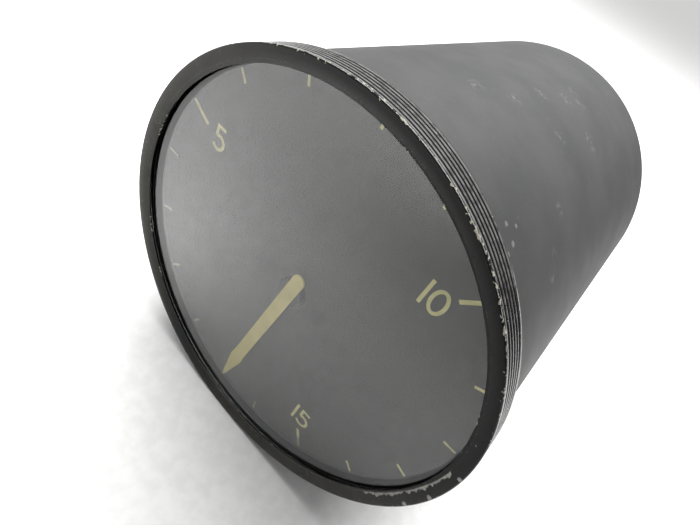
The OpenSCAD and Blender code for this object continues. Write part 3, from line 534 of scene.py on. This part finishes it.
# Gaskets: black rubber sheet, cut to shape.
# One is squeezed under the receptacle's flange, and the other lies behind the glass.
rubber, tree, shader, place = new_finish("black_rubber", (0.018, 0.018, 0.018), 0.7)
dust = ramp(tree, grain(tree, place, 0.5 * mm, detail=4.0), 0.45, 0.8, 0.0, 0.6)
put(tree, shader.inputs["Base Color"], mixed(tree, dust, (0.016, 0.016, 0.016), (0.045, 0.044, 0.042)))
roughen(tree, shader, grain(tree, place, 0.15 * mm), 0.02 * mm, 0.6)
paint_nodes(rubber, "receptacle_gasket", "glass_gasket")

# Tie screws and receptacle screws: slotted steel heads, zinc plated and gone dull grey.
# The tie screws pull the whole movement against the rear wall.
zinc, tree, shader, place = new_finish("dull_zinc", (0.38, 0.385, 0.38), 0.42, 1.0)
dull = ramp(tree, grain(tree, place, 1.0 * mm, detail=5.0), 0.4, 0.7)
put(tree, shader.inputs["Base Color"], mixed(tree, dull, (0.42, 0.425, 0.42), (0.24, 0.24, 0.235)))
put(tree, shader.inputs["Roughness"], ramp(tree, dull, 0.0, 1.0, 0.36, 0.58))
roughen(tree, shader, grain(tree, place, 0.12 * mm), 0.01 * mm, 0.6)
paint_nodes(zinc, "tie_screws", "receptacle_screws")

# Adjusters: slotted brass spindles, turned from rod like the rest of the brass.
# They run in aluminium bushes in the rear wall, and are set with a screwdriver from behind.
paint_nodes(brass, "empty_adjuster", "full_adjuster")

# Dial: an aluminium disc sprayed matte black, held to the front plate by two small black screws.
# The hole in its middle lets the pointer's hub through, and the bush behind it is painted black like the
# screws, a painted shade that keeps the hole dark.
dial_low, dial_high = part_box("dial_plate")
dial_r = dial_high.x
dial_face = dial_low.y
dial_back = dial_high.y
dial_hole_r = 2 * mm
dial_edge = 0.06 * mm
dial_black, tree, shader, place = new_finish("dial_black", (0.026, 0.026, 0.021), 0.62)
faded = ramp(tree, grain(tree, place, 7 * mm, detail=5.0), 0.3, 0.7)
colour = mixed(tree, faded, (0.022, 0.0222, 0.017), (0.031, 0.0312, 0.025))
speck = ramp(tree, grain(tree, place, 0.3 * mm, detail=2.0), 0.68, 0.76, 0.0, 0.3)
put(tree, shader.inputs["Base Color"], mixed(tree, speck, colour, (0.042, 0.042, 0.038)))
put(tree, shader.inputs["Roughness"], ramp(tree, grain(tree, place, 1.5 * mm), 0.3, 0.7, 0.55, 0.7))
roughen(tree, shader, grain(tree, place, 0.4 * mm), 0.002 * mm, 0.2)
dial_outline = rounded([
    (dial_hole_r, dial_face, dial_edge), (dial_r, dial_face, dial_edge),
    (dial_r, dial_back, 0), (dial_hole_r, dial_back, 0),
], steps=3)
dial = turned("black_dial", lambda a: dial_outline, dial_black)
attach(dial, "case")
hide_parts("dial_plate")
screw_and_hole_shade_black, tree, shader, place = new_finish("blackened_screw", (0.008, 0.008, 0.009), 0.5, 0.2)
worn = ramp(tree, grain(tree, place, 0.25 * mm, detail=4.0), 0.6, 0.75, 0.0, 0.6)
put(tree, shader.inputs["Base Color"], mixed(tree, worn, (0.006, 0.006, 0.007), (0.03, 0.03, 0.029)))
roughen(tree, shader, grain(tree, place, 0.1 * mm), 0.01 * mm, 0.5)
# The bush takes this black as painted shade, so the hole round the hub shows dark.
paint_nodes(screw_and_hole_shade_black, "dial_screws", "front_bush")

# Scale marks: one for each unit, in cream paint printed on the dial. Every fifth is longer and wider.
# The scale runs clockwise, with its gap centred at the bottom.
mark_count = 17
mark_sweep = 344
marks_per_long = 5
short_mark = (22.8 * mm, 0.32 * mm)
long_mark = (21.15 * mm, 0.44 * mm)
mark_end_r = dial_r - dial_edge
ink_thickness = 0.02 * mm
cream, tree, shader, place = new_finish("cream_paint", (0.55, 0.5, 0.2), 0.6)


def near_angle(tree, angle, degrees, hold, fade):
    """1 within an angle either side of a bearing, falling to 0 past it."""
    off = figure(tree, "WRAP", figure(tree, "SUBTRACT", angle, radians(degrees)), pi, -pi)
    return ramp(tree, figure(tree, "ABSOLUTE", off), radians(hold), radians(hold + fade), 1.0, 0.0)


radius, angle, depth = polar(tree, place)
aged = ramp(tree, grain(tree, place, 1.2 * mm, detail=5.0), 0.35, 0.7)
colour = mixed(tree, aged, (0.6, 0.55, 0.23), (0.5, 0.455, 0.18))
thin = ramp(tree, grain(tree, place, 0.16 * mm, detail=3.0), 0.6, 0.74, 0.0, 0.5)
colour = mixed(tree, thin, colour, (0.3, 0.275, 0.13))
by_rim = ramp(tree, radius, 22.2 * mm, 23 * mm)
# The marks fade nearly to the dial's black near the rim at the lower left.
rim_fade_lower_left = times(tree, near_angle(tree, angle, -118, hold=60, fade=24), by_rim, 0.7)
put(tree, shader.inputs["Base Color"], mixed(tree, rim_fade_lower_left, colour, (0.05, 0.048, 0.03)))
roughen(tree, shader, grain(tree, place, 0.1 * mm), 0.01 * mm, 0.6)


def scale_tree(name):
    """Geometry Nodes that print one kind of mark along the scale."""
    group = bpy.data.node_groups.new(name, "GeometryNodeTree")
    for title, kind in (("Marks", "Int"), ("First angle", "Float"), ("Step", "Float"), ("Every", "Int"),
                        ("Long", "Bool"), ("Inner radius", "Float"), ("Outer radius", "Float"),
                        ("Width", "Float"), ("Thickness", "Float"), ("Face", "Float"), ("Paint", "Material")):
        group.interface.new_socket(title, in_out="INPUT", socket_type="NodeSocket" + kind)
    group.interface.new_socket("Geometry", in_out="OUTPUT", socket_type="NodeSocketGeometry")
    given = group.nodes.new("NodeGroupInput").outputs
    result = group.nodes.new("NodeGroupOutput")

    def step(kind, operation=None, **sockets):
        made = group.nodes.new(kind)
        if operation:
            made.operation = operation
        for key, value in sockets.items():
            socket = made.inputs[int(key[1:])] if key[1:].isdigit() else made.inputs[key.replace("_", " ")]
            put(group, socket, value)
        return made

    def sum_of(operation, *values):
        return step("ShaderNodeMath", operation, **{f"i{i}": v for i, v in enumerate(values)}).outputs[0]

    index = step("GeometryNodeInputIndex").outputs["Index"]
    turn = sum_of("MULTIPLY_ADD", index, given["Step"], given["First angle"])
    left_over = sum_of("MODULO", index, given["Every"])
    on_long = sum_of("MULTIPLY", sum_of("COMPARE", left_over, 0.0, 0.1), sum_of("GREATER_THAN", index, 0.5))
    wanted = sum_of("COMPARE", on_long, given["Long"], 0.1)
    length = sum_of("SUBTRACT", given["Outer radius"], given["Inner radius"])
    middle = sum_of("MULTIPLY_ADD", length, 0.5, given["Inner radius"])
    lift = sum_of("MULTIPLY_ADD", given["Thickness"], -0.5, given["Face"])
    bar_size = step("ShaderNodeCombineXYZ", X=length, Y=given["Thickness"], Z=given["Width"])
    bar_place = step("ShaderNodeCombineXYZ", X=middle, Y=lift, Z=0.0).outputs["Vector"]
    bar = step("GeometryNodeMeshCube", Size=bar_size.outputs["Vector"]).outputs["Mesh"]
    bar = step("GeometryNodeTransform", Geometry=bar, Translation=bar_place).outputs["Geometry"]
    points = step("GeometryNodeMeshLine", Count=given["Marks"], Offset=(0.0, 0.0, 0.0)).outputs["Mesh"]
    points = step("GeometryNodeMeshToPoints", Mesh=points).outputs["Points"]
    rotation = step("ShaderNodeCombineXYZ", X=0.0, Y=turn, Z=0.0).outputs["Vector"]
    marks = step(
        "GeometryNodeInstanceOnPoints", Points=points, Selection=wanted, Instance=bar, Rotation=rotation)
    real = step("GeometryNodeRealizeInstances", Geometry=marks.outputs["Instances"]).outputs["Geometry"]
    inked = step("GeometryNodeSetMaterial", Geometry=real, Material=given["Paint"]).outputs["Geometry"]
    group.links.new(inked, result.inputs["Geometry"])
    return group


def grown(name, group, **sizes):
    """A plain mesh object grown by a Geometry Nodes tree with its inputs set."""
    seed = bpy.data.objects.new(name + "_seed", bpy.data.meshes.new(name + "_seed"))
    bpy.context.collection.objects.link(seed)
    modifier = seed.modifiers.new(name, "NODES")
    modifier.node_group = group
    for item in group.interface.items_tree:
        key = item.name.replace(" ", "_")
        if item.in_out == "INPUT" and key in sizes:
            modifier[item.identifier] = sizes[key]
    evaluated = seed.evaluated_get(bpy.context.evaluated_depsgraph_get())
    mesh = bpy.data.meshes.new_from_object(evaluated)
    seed.modifiers.remove(modifier)
    bpy.data.objects.remove(seed)
    mesh.name = name
    made = bpy.data.objects.new(name, mesh)
    bpy.context.collection.objects.link(made)
    return made


zero_angle = radians(90 + (360 - mark_sweep) / 2)
mark_step = radians(mark_sweep / (mark_count - 1))
scale_group = scale_tree("scale_marks")
for name, is_long, (inner_r, width) in (("short_marks", False, short_mark), ("long_marks", True, long_mark)):
    marks = grown(
        name, scale_group, Marks=mark_count, First_angle=zero_angle, Step=mark_step, Every=marks_per_long,
        Long=is_long, Inner_radius=inner_r, Outer_radius=mark_end_r, Width=width,
        Thickness=ink_thickness, Face=dial_face, Paint=cream,
    )
    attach(marks, "case")

# Numerals: 5, 10 and 15 in plain strokes of one width, printed in the same cream paint.
# They stand upright on the dial beside their long marks.
numeral_h = 3.15 * mm
stroke_w = 0.4 * mm
five_w = 1.55 * mm
nought_w = 1.58 * mm
bowl_from, bowl_to = 128, -148
digit_gap = 0.73 * mm
numerals = (("5", (-16.88 * mm, 8.78 * mm)), ("10", (12.8 * mm, 13.78 * mm)), ("15", (9.8 * mm, -15.85 * mm)))


def arc(x, y, rx, ry, start, end, steps=20):
    """Points along part of an ellipse, in degrees."""
    turn = [radians(start + (end - start) * k / steps) for k in range(steps + 1)]
    return [(x + rx * cos(a), y + ry * sin(a)) for a in turn]


def digit_strokes(digit):
    """The middle lines of a digit's strokes, from its lower left corner, and its width."""
    top = numeral_h - stroke_w / 2
    low = stroke_w / 2
    if digit == "1":
        return [[(0, 0), (0, numeral_h)]], 0
    if digit == "0":
        half = nought_w / 2
        return [arc(half, numeral_h / 2, half, numeral_h / 2 - low, 0, 360, 40)], nought_w
    bowl_x, bowl_y = five_w * 0.48, 1.04 * mm
    bowl_rx, bowl_ry = five_w * 0.56, bowl_y - low
    bowl = arc(bowl_x, bowl_y, bowl_rx, bowl_ry, bowl_from, bowl_to, 28)
    return [[(five_w * 0.92, top), (five_w * 0.14, top), bowl[0]], bowl], five_w


def stroke_faces(shape, line, width, place_at):
    """A flat ribbon with a little thickness along a line of points, closed if its ends meet."""
    points = [Vector(p) for p in line]
    closed = (points[0] - points[-1]).length < 1e-6
    if closed:
        points.pop()
    count = len(points)
    edges = []
    for i, here in enumerate(points):
        back = points[i - 1] if closed or i else None
        onward = points[(i + 1) % count] if closed or i < count - 1 else None
        turn_in = (here - back).normalized() if back else (onward - here).normalized()
        turn_out = (onward - here).normalized() if onward else turn_in
        along = (turn_in + turn_out).normalized()
        side = Vector((-along.y, along.x)) * (width / 2 / max(0.5, along.dot(turn_in)))
        edges.append((here + side, here - side))
    front, rear = dial_face - ink_thickness, dial_face
    rings = []
    for a, b in edges:
        section = ((a, front), (b, front), (b, rear), (a, rear))
        rings.append([shape.verts.new(place_at(p, y)) for p, y in section])
    for here, onward in zip(rings, rings[1:] + (rings[:1] if closed else [])):
        for k in range(4):
            shape.faces.new((here[k - 1], here[k], onward[k], onward[k - 1]))
    if not closed:
        shape.faces.new(rings[0])
        shape.faces.new(rings[-1])


for text, (centre_x, centre_z) in numerals:
    shape = bmesh.new()
    widths = [digit_strokes(digit)[1] for digit in text]
    x = centre_x - (sum(widths) + digit_gap * (len(text) - 1)) / 2
    for digit, width in zip(text, widths):
        for line in digit_strokes(digit)[0]:
            stroke_faces(shape, line, stroke_w, lambda p, y: (x + p.x, y, centre_z - numeral_h / 2 + p.y))
        x += width + digit_gap
    numeral = finished("numeral_" + text, shape, cream)
    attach(numeral, "case")

# Pointer: blanked from thin sheet and sprayed khaki cream, with its edges eased by the paint.
# It sits on a black hub pressed on the shaft, and its tail is round.
blade_low, blade_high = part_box("pointer")
blade_front, blade_back = blade_low.y, blade_high.y
pointer_w = 1.75 * mm
shoulder_w = 2.05 * mm
point_w = 0.3 * mm
tip_r = 23.5 * mm
tip_len = 5.8 * mm
flare_len = 1.6 * mm
tail_len = 3.6 * mm
blade_edge = 0.05 * mm
khaki, tree, shader, place = new_finish("khaki_paint", (0.46, 0.39, 0.13), 0.55)
aged = ramp(tree, grain(tree, place, 2.2 * mm, detail=5.0), 0.3, 0.7)
colour = mixed(tree, aged, (0.52, 0.435, 0.15), (0.43, 0.355, 0.11))
speck = ramp(tree, grain(tree, place, 0.25 * mm, detail=3.0), 0.64, 0.76, 0.0, 0.6)
put(tree, shader.inputs["Base Color"], mixed(tree, speck, colour, (0.3, 0.245, 0.08)))
roughen(tree, shader, grain(tree, place, 0.15 * mm), 0.012 * mm, 0.6)
shoulder_x = tip_r - tip_len
tail_x = -tail_len + pointer_w / 2
blade_outline = [
    (shoulder_x - flare_len, -pointer_w / 2), (shoulder_x, -shoulder_w / 2), (tip_r, -point_w / 2),
    (tip_r, point_w / 2), (shoulder_x, shoulder_w / 2), (shoulder_x - flare_len, pointer_w / 2),
] + arc(tail_x, 0, pointer_w / 2, pointer_w / 2, 90, 270, 16)
rest_turn = -zero_angle
shape = bmesh.new()
rim = []
for x, z in blade_outline:
    rim.append(shape.verts.new((
        x * cos(rest_turn) - z * sin(rest_turn), blade_front, x * sin(rest_turn) + z * cos(rest_turn))))
sheet = shape.faces.new(rim)
pushed = bmesh.ops.extrude_face_region(shape, geom=[sheet])
bmesh.ops.translate(shape, vec=(0, blade_back - blade_front, 0),
                    verts=[v for v in pushed["geom"] if isinstance(v, bmesh.types.BMVert)])
bmesh.ops.recalc_face_normals(shape, faces=shape.faces)
outer_edges = [e for e in shape.edges if len(e.link_faces) == 2 and e.calc_face_angle() > radians(60)
               and abs(e.verts[0].co.y - e.verts[1].co.y) < 1e-9]
bmesh.ops.bevel(shape, geom=outer_edges, offset=blade_edge, segments=2, profile=0.5, affect="EDGES")
pointer = finished("pointer_blade", shape, khaki, crease=40)
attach(pointer, "pointer")
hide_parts("pointer")
paint_nodes(screw_and_hole_shade_black, "pointer_hub")

# Cover glass: a flat disc of plate glass with ground edges, held between the bezel's lip and the gasket.
# Light reaches the dial through it as through a clear, slightly green sheet.
glass_low, glass_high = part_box("cover_glass")
glass_r = glass_high.x
glass_front, glass_back = glass_low.y, glass_high.y
glass_edge = 0.1 * mm
glass_ior = 1.5
glass, tree, shader, place = new_finish("plate_glass", (0.97, 0.985, 0.98), 0.0)
shader.inputs["Transmission Weight"].default_value = 1.0
shader.inputs["IOR"].default_value = glass_ior
clear = node(tree, "BsdfTransparent", Color=(0.93, 0.95, 0.94, 1))
lamp_ray = node(tree, "LightPath").outputs["Is Shadow Ray"]
lit = node(tree, "MixShader")
put(tree, lit.inputs[0], lamp_ray)
put(tree, lit.inputs[1], shader.outputs["BSDF"])
put(tree, lit.inputs[2], clear.outputs["BSDF"])
tree.links.new(lit.outputs["Shader"], tree.nodes["Material Output"].inputs["Surface"])
glass_outline = rounded([
    (0, glass_front, 0), (glass_r, glass_front, glass_edge),
    (glass_r, glass_back, glass_edge), (0, glass_back, 0),
], steps=3)
pane = turned("glass_pane", lambda a: glass_outline, glass)
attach(pane, "case")
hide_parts("cover_glass")

# Bezel: a ring turned from aluminium, with five fine grooves round its rim, primed and sprayed satin black.
# It is pressed over the case's spigot, and its lip, dished a little, holds the glass.
# Its paint is chipped at the edges and rubbed on the rim; the rim's top side and outer edge carry painted
# sheen and highlight, and the face a painted reflection at the left and bottom.
bezel_low, bezel_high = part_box("bezel_ring")
bezel_r = bezel_high.x
bezel_face = bezel_low.y
bezel_gap = 0.02 * mm
bezel_bore_r = spigot_r + bezel_gap
aperture_r = bezel_r - 1.75 * mm
dish_r = bezel_r - 0.6 * mm
dish_depth = 0.48 * mm
dish_bend = 2 * mm
lip_edge = bezel_face + dish_depth
lip_wall = 0.14 * mm
lip_relief = 0.46 * mm
edge_bevel = 0.12 * mm
groove_count = 5
first_groove = 0.68 * mm
groove_pitch = 0.54 * mm
groove_w = 0.24 * mm
groove_depth = 0.2 * mm
groove_floor_w = groove_w * 0.7
soft_edge = 0.04 * mm
black_low, black_high = (0.0024, 0.0024, 0.0023), (0.0042, 0.0042, 0.0039)
# The next three lines hold painted light: a painted reflection grey for the face, and painted sheen greys for
# the top of the rim.
painted_reflection_grey = (0.044, 0.043, 0.037)
top_rim_painted_light = (0.034, 0.034, 0.033)
land_painted_sheen, first_land_painted_highlight = (0.12, 0.12, 0.117), (0.19, 0.192, 0.196)
dash_colour = (0.4, 0.4, 0.39)
chip_grey, chip_cream = (0.26, 0.262, 0.255), (0.37, 0.355, 0.29)
# Chips on the face: degrees round the axis, mm in from the rim, and radius in mm
face_chips = ((6, 0.26, 0.3), (-6.2, 0.34, 0.32), (-15.5, 0.3, 0.32),
              (12.3, 1.48, 0.24), (17, 1.0, 0.17), (8.3, 1.5, 0.16))
# Nicks in the lip's edge: degrees round the axis, and degrees either side
lip_nicks = ((71, 0.3), (68.8, 0.3), (81, 0.5), (22, 2), (12, 1),
             (166, 4), (-157, 3), (-140, 1.5), (-69, 1.5))
bezel_corners = [
    (case_r + bezel_gap, 0, 0), (bezel_bore_r, -spigot_step, 0), (bezel_bore_r, glass_front, 0),
    (aperture_r + lip_relief, glass_front, 0), (aperture_r, lip_edge + lip_wall, 0),
    (aperture_r, lip_edge, soft_edge * 2), (dish_r, bezel_face, dish_bend),
    (bezel_r - edge_bevel, bezel_face, soft_edge), (bezel_r, bezel_face + edge_bevel, soft_edge),
]
for i in range(groove_count):
    y = bezel_face + first_groove + i * groove_pitch
    bezel_corners += [
        (bezel_r, y - groove_w / 2, soft_edge), (bezel_r - groove_depth, y - groove_floor_w / 2, soft_edge),
        (bezel_r - groove_depth, y + groove_floor_w / 2, soft_edge), (bezel_r, y + groove_w / 2, soft_edge),
    ]
bezel_corners.append((bezel_r, 0, soft_edge))
bezel_outline = rounded(bezel_corners, steps=2)
bezel_paint, tree, shader, place = new_finish("bezel_black", (0.0055, 0.0055, 0.0053), 0.36)
shader.inputs["Specular IOR Level"].default_value = 0.18
radius, angle, depth = polar(tree, place)
from_face = figure(tree, "SUBTRACT", depth, bezel_face)


def apart_from(tree, value, mark):
    """How far a value is from a mark, either way."""
    return figure(tree, "ABSOLUTE", figure(tree, "SUBTRACT", value, mark))


def most(tree, *values):
    """The largest of several node values."""
    largest = values[0]
    for value in values[1:]:
        largest = figure(tree, "MAXIMUM", largest, value)
    return largest


jagged = figure(tree, "MULTIPLY_ADD", grain(tree, place, 0.12 * mm, detail=4.0), 0.16 * mm, -0.08 * mm)
patches = grain(tree, place, 0.9 * mm, detail=3.0)
blobs = grain(tree, place, 0.4 * mm, detail=2.0)

# the outer edge: a thin pale line along the bevel's corner, partly worn paint and partly a painted edge
# highlight that widens on the top side, and chips over it at the right
from_corner = figure(tree, "ADD", apart_from(tree, from_face, edge_bevel), apart_from(tree, radius, bezel_r))
top_edge_highlight = near_angle(tree, angle, 86, hold=26, fade=8)
line_share = figure(tree, "MULTIPLY_ADD", top_edge_highlight, 0.14, patches)
line_w = ramp(tree, line_share, 0.47, 0.58, -0.08 * mm, 0.055 * mm)
upper_chips = near_angle(tree, angle, 36, hold=20, fade=14)
lower_chips = near_angle(tree, angle, -22, hold=16, fade=12)
chipped = figure(tree, "MULTIPLY_ADD", most(tree, upper_chips, lower_chips), 0.06, blobs)
bare_w = figure(tree, "ADD", line_w, ramp(tree, chipped, 0.57, 0.73, 0.0, 0.3 * mm))
outer_off = figure(tree, "SUBTRACT", figure(tree, "ADD", from_corner, jagged), bare_w)
outer_chips_and_edge_highlight = ramp(tree, outer_off, -0.03 * mm, 0.02 * mm, 1.0, 0.0)

# the rear edge: a bare line round the right side
at_rear = ramp(tree, depth, -0.15 * mm, -0.1 * mm)
at_rim = ramp(tree, radius, bezel_r - 0.06 * mm, bezel_r - 0.03 * mm)
rear_rubbed = near_angle(tree, angle, 12, hold=38, fade=5)
rear_bare = times(tree, at_rear, at_rim, rear_rubbed, ramp(tree, patches, 0.32, 0.46))

# the lip: one long scrape beside its edge at the lower right, a few chips, and small nicks in the edge
scraped = near_angle(tree, angle, -12, hold=16, fade=4)
round_lip = times(tree, angle, aperture_r)
lip_run = node(tree, "CombineXYZ", X=round_lip, Y=0.0, Z=0.0).outputs["Vector"]
streaks = grain(tree, lip_run, 1.1 * mm, detail=3.0)
scrape_w = ramp(tree, times(tree, streaks, scraped), 0.26, 0.68, -0.04 * mm, 0.44 * mm)
scrape_in = ramp(tree, angle, radians(-16), radians(8), aperture_r + 0.16 * mm, aperture_r + 0.42 * mm)
past_scrape = figure(tree, "SUBTRACT", radius, scrape_in)
scrape_off = most(tree, times(tree, past_scrape, -1.0), figure(tree, "SUBTRACT", past_scrape, scrape_w))
ragged_off = figure(tree, "MULTIPLY_ADD", jagged, 1.8, scrape_off)
lip_bare = ramp(tree, ragged_off, -0.07 * mm, 0.03 * mm, 1.0, 0.0)
for degrees, from_rim, chip_r in face_chips:
    off = from_point(tree, place, degrees, bezel_r - from_rim * mm, bezel_face)
    off = figure(tree, "ADD", figure(tree, "MULTIPLY_ADD", jagged, 2.0, off), -chip_r * mm)
    lip_bare = most(tree, lip_bare, ramp(tree, off, -0.06 * mm, 0.03 * mm, 1.0, 0.0))
nicked = most(tree, *(near_angle(tree, angle, degrees, hold=spread, fade=1) for degrees, spread in lip_nicks))
from_lip = figure(tree, "ADD", apart_from(tree, depth, lip_edge), apart_from(tree, radius, aperture_r))
nick_w = ramp(tree, times(tree, blobs, nicked), 0.42, 0.6, -0.12 * mm, 0.18 * mm)
nick_off = figure(tree, "SUBTRACT", figure(tree, "ADD", from_lip, jagged), nick_w)
nicks = ramp(tree, nick_off, -0.05 * mm, 0.0, 1.0, 0.0)
pitted = ramp(tree, grain(tree, place, 0.1 * mm, detail=3.0), 0.3, 0.55, 0.5, 1.0)
bare = times(tree, most(tree, outer_chips_and_edge_highlight, rear_bare, lip_bare, nicks), pitted)

# the paint: lighter olive grey at the left and at the bottom of the face, a painted reflection of the bright
# floor
sheen = ramp(tree, grain(tree, place, 3 * mm, detail=5.0), 0.3, 0.7)
colour = mixed(tree, sheen, black_low, black_high)
left_painted_reflection = near_angle(tree, angle, 172, hold=14, fade=62)
low_painted_reflection = near_angle(tree, angle, -56, hold=24, fade=44)
painted_reflection_share = figure(tree, "MULTIPLY_ADD", low_painted_reflection, 0.75, left_painted_reflection)
on_face = ramp(tree, from_face, dish_depth, dish_depth + 0.04 * mm, 1.0, 0.0)
painted_reflection_on_face = times(tree, painted_reflection_share, on_face, ramp(tree, sheen, 0.0, 1.0, 0.8, 1.0))
colour = mixed(tree, painted_reflection_on_face, colour, painted_reflection_grey)

# the rim: painted light on its top side, where the grooves are lighter and the lands grey as a painted sheen
# broken by rubbed wear; the first land is lighter at its front as a painted highlight, and pale flecks lie on
# all the lands
painted_light_top_side = near_angle(tree, angle, 100, hold=42, fade=18)
behind_face = ramp(tree, from_face, 0.42 * mm, 0.5 * mm)
by_rim = ramp(tree, radius, bezel_r - 0.5 * mm, bezel_r - 0.4 * mm)
colour = mixed(tree, times(tree, behind_face, by_rim, painted_light_top_side), colour, top_rim_painted_light)
groove_phase = figure(tree, "DIVIDE", figure(tree, "SUBTRACT", from_face, first_groove), groove_pitch)
off_groove = figure(tree, "ABSOLUTE", figure(tree, "WRAP", groove_phase, 0.5, -0.5))
clear_of_groove = ramp(tree, times(tree, off_groove, groove_pitch), groove_w / 2, groove_w / 2 + 0.06 * mm)
land = times(tree, ramp(tree, radius, bezel_r - 0.03 * mm, bezel_r - 0.005 * mm), clear_of_groove)
worn = figure(tree, "MULTIPLY_ADD", painted_light_top_side, 0.25, grain(tree, place, 0.7 * mm, detail=5.0))
land_sheen_and_wear = times(tree, land, ramp(tree, worn, 0.54, 0.82, 0.04, 1.0))
at_front = ramp(tree, from_face, edge_bevel, first_groove - groove_w / 2, 1.0, 0.0)
colour = mixed(tree, land_sheen_and_wear, colour, mixed(tree, at_front, land_painted_sheen, first_land_painted_highlight))
flecks = ramp(tree, grain(tree, place, 0.24 * mm, detail=2.0), 0.68, 0.74, 0.0, 0.8)
colour = mixed(tree, times(tree, land, flecks), colour, dash_colour)
chip_colour = mixed(tree, ramp(tree, blobs, 0.45, 0.65), chip_grey, chip_cream)
put(tree, shader.inputs["Base Color"], mixed(tree, bare, colour, chip_colour))
gloss = grain(tree, place, 1.2 * mm, detail=4.0)
put(tree, shader.inputs["Roughness"], ramp(tree, gloss, 0.3, 0.7, 0.18, 0.28))
relief = figure(tree, "MULTIPLY_ADD", bare, -1.0, times(tree, grain(tree, place, 0.2 * mm), 0.2))
roughen(tree, shader, relief, 0.02 * mm, 0.5)
bezel = turned("grooved_bezel", lambda a: bezel_outline, bezel_paint, sides=512)
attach(bezel, "case")
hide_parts("bezel_ring")
